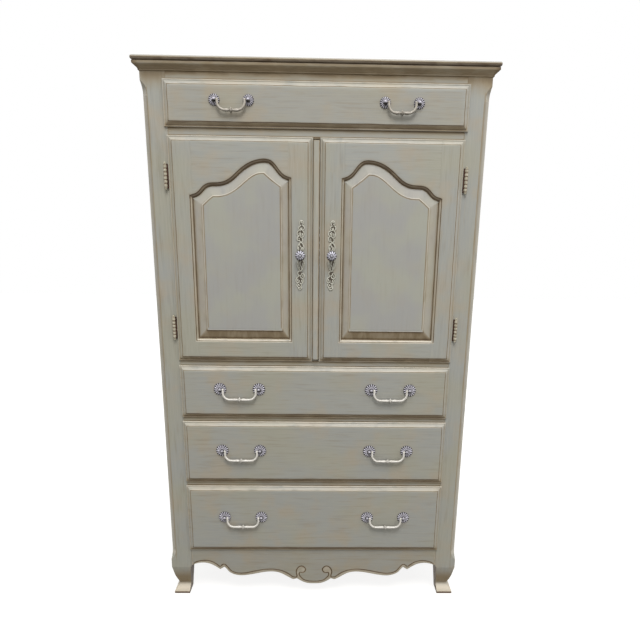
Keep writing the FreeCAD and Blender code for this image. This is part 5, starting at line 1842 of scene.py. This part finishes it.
            # Painted shade: the line round the field carries glaze at its head and sides but none along its
            # foot.
            rings.append([
                draft.add((x + dx * even + sx * rest, FACE - out, z + dz * even + sz * rest),
                          glaze_and_shade * min(1.0, 1.0 - dz), wear_and_highlight)
                for (x, z), (dx, dz), (sx, sz) in zip(rim, steps, shrinking(rim))
            ])
        draft.skin(rings, caps=True)
        node = self.node("panel")
        name = node + "_raised"
        settle(draft.mesh(name, PAINT_PANEL, self.mirror), name, self.body, "painted_wood", node)


@dataclass
class Astragal:
    """Cover strip on the left-hand door: a shallow round between two quirks."""

    section: tuple = (
        (-10.5, REBATE, 0.4), (-10.5, 7.0, 0.9), (-10.1, 9.6, 0.85), (-8.9, 10.9, 0.5), (-7.2, 11.8, 0.1),
        (-4.0, 12.2, 0.0), (0.0, 12.4, 0.0), (3.4, 12.2, 0.0), (6.2, 11.7, 0.15), (8.0, 10.8, 0.6),
        (9.7, 9.4, 0.9), (10.2, 7.0, 1.0), (10.2, REBATE, 0.4),
    )

    def make(self) -> None:
        """Run the section up the strip."""
        node = "door_left_astragal"
        low, high = box_mm(node)
        # How far from an end, how far the face is drawn in there, and the stain that it gets.
        end = ((0.0, 1.2, 0.8), (1.2, 0.0, 0.3), (5.0, 0.0, 0.0))
        levels = [(low.z + step, draw_in, stain) for step, draw_in, stain in end]
        levels += [(high.z - step, draw_in, stain) for step, draw_in, stain in reversed(end)]
        draft = Draft()
        rings = [[draft.add((x, FACE - out + (draw_in if out > 0 else 0.0), level), max(glaze_and_shade, stain), 0.1)
                  for x, out, glaze_and_shade in self.section] for level, draw_in, stain in levels]
        draft.skin(rings, caps=True)
        name = node + "_round"
        settle(draft.mesh(name, PAINT_UP), name, "left_door", "painted_wood", node)


# Scrolls of a backplate, as points across and up from the knob's middle in millimetres.
SCROLLS = (
    ((2, 89), (-3, 95), (-1.5, 102), (4, 104.5), (8.8, 100), (7.5, 94), (3.6, 95.5)),
    ((2.5, 90), (-4, 86.5), (-5, 80), (-1, 76), (4, 78.5), (4.2, 85)),
    ((3.5, 90), (10, 88.5), (12, 82.5), (9, 77), (4.5, 76)),
    ((0, 76), (-7.5, 73), (-10, 66), (-6.4, 59), (-1, 60), (0, 67), (-1.6, 72)),
    ((2, 77), (9, 72.5), (11, 64), (8, 56.5), (2.5, 54.5), (-1, 60)),
    ((-1.6, 58), (-8.5, 55.5), (-10, 49.5), (-6, 44), (-1.2, 46)),
    ((2.5, 55), (6.4, 50), (6, 42.5), (1.4, 38), (-1.4, 44)),
    ((0.4, 42), (-4.6, 34.5), (-9, 24), (-6, 14)),
    ((1.6, 42), (7, 34.5), (10.4, 25), (7, 14)),
    ((-6, -14), (-9.6, -24), (-8, -36), (-3, -44), (1, -49)),
    ((7, -14), (11.4, -24), (9.4, -36), (5, -44), (1, -49)),
    ((1.4, -47), (-6, -50), (-8.4, -57), (-3.4, -62.5), (3, -59.5), (3, -53.6)),
    ((3, -55), (10, -57), (12.4, -64), (8.4, -70.5), (2, -69.5), (0.8, -63)),
    ((-2, -63), (-9.6, -67.5), (-14, -76), (-11, -83.5), (-5, -82.5), (-4.2, -76)),
    ((2, -70), (8, -74), (8.2, -82), (3, -87.5), (-3, -84)),
    ((-6, -82.5), (-11, -89), (-9, -96.5), (-3, -99.5), (2, -95.5), (1.8, -88.5)),
    ((2, -94), (4.2, -100.5), (0, -105), (-6, -103.5), (-7, -98)),
    ((1, 41), (-3, 32), (2.5, 24), (-1, 13)),
    ((1, -48), (4, -38), (-1.5, -28), (2, -15)),
    ((0.5, 98), (3, 100.5), (5.5, 98.5)),
    ((-1, 83), (1.8, 80), (1.2, 77)),
    ((-5.5, 69), (-3.5, 64.5), (-4.5, 62)),
    ((4.5, 68), (6.2, 63), (3.6, 58.5)),
    ((-5.5, 52.5), (-3.8, 50), (-3.5, 47.5)),
    ((-5.2, 26), (-5.6, 21), (-4.6, 16)),
    ((6, 26), (6.2, 21), (5, 16)),
    ((-5.5, -20), (-5, -32), (-1.5, -41)),
    ((6.8, -22), (7, -32), (3.6, -41)),
    ((6, -60), (7.8, -63.5), (6, -66.5)),
    ((-8, -72), (-9, -76.5), (-7.6, -80)),
    ((3, -75), (4.6, -79), (2.4, -83)),
    ((-5.5, -88), (-5.4, -92), (-2.4, -94)),
)
# Ground between the scrolls, near black as painted shade in the openings: level, left-hand edge and
# right-hand edge.
GROUND = (
    (-103, -4, 1), (-97, -8, 0), (-91, -9, 1), (-84, -9, 6), (-77, -11, 7), (-70, -9, 8), (-64, -5, 10),
    (-57, -7, 9), (-50, -6, 5), (-40, -6, 6), (-30, -7, 8), (-20, -7, 8), (-12, -6, 6), (12, -6, 6),
    (20, -7, 8), (30, -6, 7), (40, -3, 3), (48, -7, 5), (56, -7, 8), (66, -8, 9), (74, -6, 7), (82, -4, 10),
    (88, -3, 8), (94, 0, 5), (100, 1, 6),
)


@dataclass
class Backplate:
    """Long plate of scrolls over a near-black ground, painted shade in its openings, behind a knob. Both
    doors have the same casting.
    """

    side: str
    body: str
    rise: float = 2.9
    ground: float = 0.9  # thickness of what lies between the scrolls
    wide: float = 2.0  # half the width of a scroll at its middle

    def make(self) -> None:
        """Cast the ground and the scrolls."""
        node = f"door_{self.side}_backplate"
        back = box_mm(node)[1].y
        knob_low, knob_high = box_mm(f"door_{self.side}_knob")
        centre = (knob_low + knob_high) / 2
        draft = Draft()
        rings = []
        for level, left, right in GROUND:
            corners = ((left, 0.0), (left, self.ground), (right, self.ground), (right, 0.0))
            # 0.95: painted shade on the ground.
            rings.append([draft.add((centre.x + x, back - out, centre.z + level), 0.95)
                          for x, out in corners])
        draft.skin(rings, caps=True)
        for points in SCROLLS:
            self.scroll(draft, smooth(points, 6 * (len(points) - 1)), centre, back)
        name = node + "_scrolls"
        settle(draft.mesh(name, PLATE_CREAM, sharp=60.0), name, self.body, "cream_hardware", node)

    def scroll(self, draft: Draft, line: Sequence[Flat], centre: Vector, back: float) -> None:
        """One scroll, thin at its start and rolled up at its end.

        Args:
            draft: the mesh.
            line: its points.
            centre: the knob's middle.
            back: plane of the door's field.
        """
        section = ((-1.0, 0.0, 0.9), (-0.95, 0.4, 0.35), (-0.6, 0.85, 0.0), (0.0, 1.0, 0.0), (0.6, 0.85, 0.0),
                   (0.95, 0.4, 0.5), (1.0, 0.0, 0.9))
        rings = []
        last = len(line) - 1
        for i, (x, z) in enumerate(line):
            run = heading(line, i)
            taper = min(1.0, 0.45 + 2.2 * i / last, 0.8 + 1.0 * (last - i) / last)
            half = self.wide * taper
            rings.append([
                draft.add((centre.x + x - run.y * s * half, back - out * self.rise * taper,
                           centre.z + z + run.x * s * half), glaze_and_shade)
                for s, out, glaze_and_shade in section
            ])
        draft.skin(rings, caps=True)


@dataclass
class Hinge:
    """Finial hinge: ring-turned sleeves over the knuckles, and a near-black edge on the door's leaf, a
    painted shadow of the gap beside them.
    """

    side: str
    level: float
    knuckle: float = 22.0
    radius: float = 5.2

    def make(self) -> None:
        """Build what belongs to the case and what belongs to the door."""
        body = f"{self.side}_door"
        pivot = pivot_mm(body)
        name = f"{self.side}_hinge_{round(self.level)}"
        outer, inner = Draft(), Draft()
        for draft, start in ((outer, -1.5), (inner, -0.5), (outer, 0.5)):
            foot = (pivot.x, pivot.y, self.level + start * self.knuckle)
            draft.turned(self.section(), foot, Vector((0, 0, 1)), 20)
        toward = -1.0 if self.side == "right" else 1.0
        ends = sorted((pivot.x + toward * 3.4, pivot.x + toward * 8.6))
        leaf = Draft()
        # A near-black strip on the door's leaf: painted shadow in the gap beside the knuckles.
        round_box(leaf, (ends[0], FACE - 5.6, self.level - 1.6 * self.knuckle),
                  (ends[1], FACE - 2.6, self.level + 1.6 * self.knuckle), 0.6)
        for draft, owner, part in ((outer, "cabinet", "_frame_knuckles"), (inner, body, "_door_knuckle")):
            settle(draft.mesh(name + part, HINGE_CREAM), name + part, owner, "cream_hardware")
        settle(leaf.mesh(name + "_leaf_edge", ZINC_EDGE_PAINTED_SHADOW), name + "_leaf_edge", body, "cream_hardware")

    def section(self) -> list[tuple]:
        """Section of one sleeve: two swellings, with umber in the grooves beside them."""
        swelling = ((0.7, 0.1, 0.9), (0.84, 0.9, 0.55), (0.94, 2.4, 0.1), (1.0, 5.5, 0.0), (0.94, 8.6, 0.1),
                    (0.84, 10.1, 0.55), (0.7, 10.9, 0.9))
        rows = [(share * self.radius, start + along, glaze_and_shade, 0.0)
                for start in (0.0, self.knuckle / 2) for share, along, glaze_and_shade in swelling]
        return [(0.0, 0.1, 1.0, 0.0), *rows, (0.0, self.knuckle - 0.1, 1.0, 0.0)]


@dataclass
class Knob:
    """Turned knob on a stem, with flutes over its dome and a button in the middle."""

    side: str
    body: str
    flutes: int = 11
    deep: float = 1.6
    around: int = 88
    # Radius as a share of the widest one, distance from the door, glaze and how deep the flutes are.
    section: tuple = (
        (0.54, 0.0, 0.8, 0.0), (0.53, 1.4, 0.3, 0.0), (0.46, 2.4, 0.6, 0.0), (0.34, 5.5, 0.8, 0.0),
        (0.38, 10.5, 0.9, 0.0), (0.66, 14.5, 0.9, 0.0), (0.92, 17.0, 0.8, 0.4), (1.0, 19.0, 0.45, 0.9),
        (0.98, 21.0, 0.3, 1.0), (0.9, 23.4, 0.05, 1.0), (0.76, 25.6, 0.0, 1.0), (0.58, 27.4, 0.05, 1.0),
        (0.42, 28.6, 0.1, 0.8), (0.34, 28.9, 0.6, 0.3), (0.28, 28.6, 1.0, 0.0), (0.22, 29.8, 0.9, 0.0),
        (0.14, 31.2, 0.3, 0.0), (0.0, 31.6, 0.6, 0.0),
    )

    def make(self) -> None:
        """Revolve the section, drawn in along the flutes."""
        node = f"door_{self.side}_knob"
        low, high = box_mm(node)
        centre = (low + high) / 2
        wide = (high.x - low.x) / 2
        draft = Draft()
        rings = []
        for share, along, glaze_and_shade, fluted in self.section:
            ring = []
            for k in range(self.around):
                turn = math.tau * k / self.around
                groove = fluted * (0.5 + 0.5 * math.cos(self.flutes * turn)) ** 1.2
                # Painted shade on the lower rim of the dome.
                under = 1.3 * max(0.0, -math.sin(turn)) * max(0.0, share - 0.6) / 0.4
                radius = share * (wide - 0.6 * self.deep * groove)
                spot = (centre.x + radius * math.cos(turn), high.y - along + 0.6 * self.deep * groove,
                        centre.z + radius * math.sin(turn))
                ring.append(draft.add(spot, glaze_and_shade + 0.9 * groove + under))
            rings.append(ring)
        draft.skin(rings)
        draft.faces.append(tuple(rings[0]))
        name = node + "_fluted"
        settle(draft.mesh(name, BUFFED_PEWTER, sharp=60.0), name, self.body, "pewter_hardware", node)


# ---------------------------------------------------------------- room


@dataclass
class Studio:
    """Floor, world, lamps and camera."""

    eye: tuple = (0.015047, -1.989206, 1.300618)  # metres
    yaw: float = 1.18048  # degrees to the right
    pitch: float = 14.17635  # degrees downward
    roll: float = -0.78896
    lens: float = 30.375  # millimetres, for a sensor 36 mm wide
    centre: Flat = (330.652, 367.947)  # where the lens points, in a frame 640 wide
    width: float = 640.0

    def make(self) -> None:
        """Set up everything round the piece."""
        self.floor()
        self.world()
        self.lamps()
        self.camera()
        bpy.context.scene.view_settings.view_transform = "Standard"

    def floor(self) -> None:
        """White floor that keeps the shadow near the feet and fades to plain white further out."""
        made = bpy.data.meshes.new("floor")
        reach = 9.0  # metres
        made.from_pydata([(-reach, -reach, 0), (reach, -reach, 0), (reach, reach, 0), (-reach, reach, 0)], [],
                         [(0, 1, 2, 3)])
        shade = Shade("white_floor", "#96948F")
        tree = shade.tree
        far = add_node(tree, "ShaderNodeVectorMath", {0: shade.place}, operation="LENGTH")
        fade = add_node(tree, "ShaderNodeMapRange", {
            "Value": far.outputs["Value"], "From Min": 0.6, "From Max": 1.4, "To Min": 0.86, "To Max": 1.0},
            interpolation_type="SMOOTHSTEP")
        share = add_node(tree, "ShaderNodeMath", {0: fade.outputs[0], 1: self.seen(tree)},
                         operation="MULTIPLY", use_clamp=True)
        glow = add_node(tree, "ShaderNodeEmission", {
            "Color": colour("#FFFFFF"), "Strength": share.outputs[0]})
        matt = add_node(tree, "ShaderNodeBsdfDiffuse", {"Color": shade.base})
        both = add_node(tree, "ShaderNodeAddShader", {0: matt.outputs[0], 1: glow.outputs[0]})
        add_node(tree, "ShaderNodeOutputMaterial", {0: both.outputs[0]})
        made.materials.append(shade.material)
        piece = bpy.data.objects.new("floor", made)
        bpy.context.scene.collection.objects.link(piece)

    @staticmethod
    def seen(tree: bpy.types.NodeTree) -> bpy.types.NodeSocket:
        """1 for what the camera, a reflection or glass sees.

        Args:
            tree: tree of the floor or the world.

        Returns:
            The output socket.
        """
        rays = add_node(tree, "ShaderNodeLightPath").outputs
        total = rays["Is Camera Ray"]
        for ray in ("Is Glossy Ray", "Is Transmission Ray"):
            total = add_node(tree, "ShaderNodeMath", {0: total, 1: rays[ray]}, operation="ADD",
                             use_clamp=True).outputs[0]
        return total

    def world(self) -> None:
        """Plain white to the eye, a soft grey to the surfaces."""
        world = bpy.data.worlds.new("studio")
        bpy.context.scene.world = world
        world.use_nodes = True
        tree = world.node_tree
        tree.nodes.clear()
        strength = add_node(tree, "ShaderNodeMapRange", {
            "Value": self.seen(tree), "To Min": 0.37, "To Max": 1.0})
        sky = add_node(tree, "ShaderNodeBackground", {
            "Color": colour("#FFFFFF"), "Strength": strength.outputs[0]})
        add_node(tree, "ShaderNodeOutputWorld", {0: sky.outputs[0]})

    def lamps(self) -> None:
        """One broad lamp over the front and a weaker one at each side."""
        for name, place, aim, size, power in (
            ("key", (0.25, -3.4, 6.4), (0.0, 0.0, 0.9), 2.8, 316.0),
            ("left", (-3.0, -1.6, 1.8), (0.0, 0.0, 1.1), 2.0, 9.0),
            ("right", (3.0, -1.6, 1.8), (0.0, 0.0, 1.1), 2.0, 20.0),
        ):
            data = bpy.data.lights.new(name, "AREA")
            data.size = size
            data.energy = power
            lamp = bpy.data.objects.new(name, data)
            lamp.location = place
            lamp.rotation_euler = (Vector(aim) - Vector(place)).to_track_quat("-Z", "Y").to_euler()
            bpy.context.scene.collection.objects.link(lamp)

    def camera(self) -> None:
        """Camera at a standing person's eye, a little to the right, looking slightly down."""
        yaw, pitch, roll = (math.radians(a) for a in (self.yaw, self.pitch, self.roll))
        ahead = Vector((math.sin(yaw) * math.cos(pitch), math.cos(yaw) * math.cos(pitch), -math.sin(pitch)))
        level = Vector((math.cos(yaw), -math.sin(yaw), 0.0))
        down = ahead.cross(level)
        right = level * math.cos(roll) + down * math.sin(roll)
        down = down * math.cos(roll) - level * math.sin(roll)
        turn = Matrix((right, -down, -ahead)).transposed()
        data = bpy.data.cameras.new("camera")
        data.sensor_width = 36.0
        data.lens = self.lens
        data.shift_x = (self.width / 2 - self.centre[0]) / self.width
        data.shift_y = (self.centre[1] - self.width / 2) / self.width
        data.clip_start, data.clip_end = 0.05, 60.0
        camera = bpy.data.objects.new("camera", data)
        camera.matrix_world = Matrix.Translation(self.eye) @ turn.to_4x4()
        bpy.context.scene.collection.objects.link(camera)
        bpy.context.scene.camera = camera


def main() -> None:
    """Build every class in order."""
    logging.basicConfig(level=logging.INFO, format="%(message)s")
    Studio().make()
    Crown().make()
    FaceFrame().make()
    Apron().make()
    Case().make()
    # Under the crown the top drawer gets painted shade: a heavier film, which is also a glaze tone, less rub
    # on its ledge and darker bails.
    Drawer("top_drawer", 100.0, 16.0, 0.18, rub_and_highlight=0.8, wide_lip=5.0, bail=BAIL_CREAM_PAINTED_SHADE, drop=29.0).make()
    for title in ("second_drawer", "third_drawer", "bottom_drawer"):
        Drawer(title, 128.0, 20.5, 0.08).make()
    for side in ("right", "left"):
        Door(side).make()
    Astragal().make()


if __name__ == "__main__":
    main()
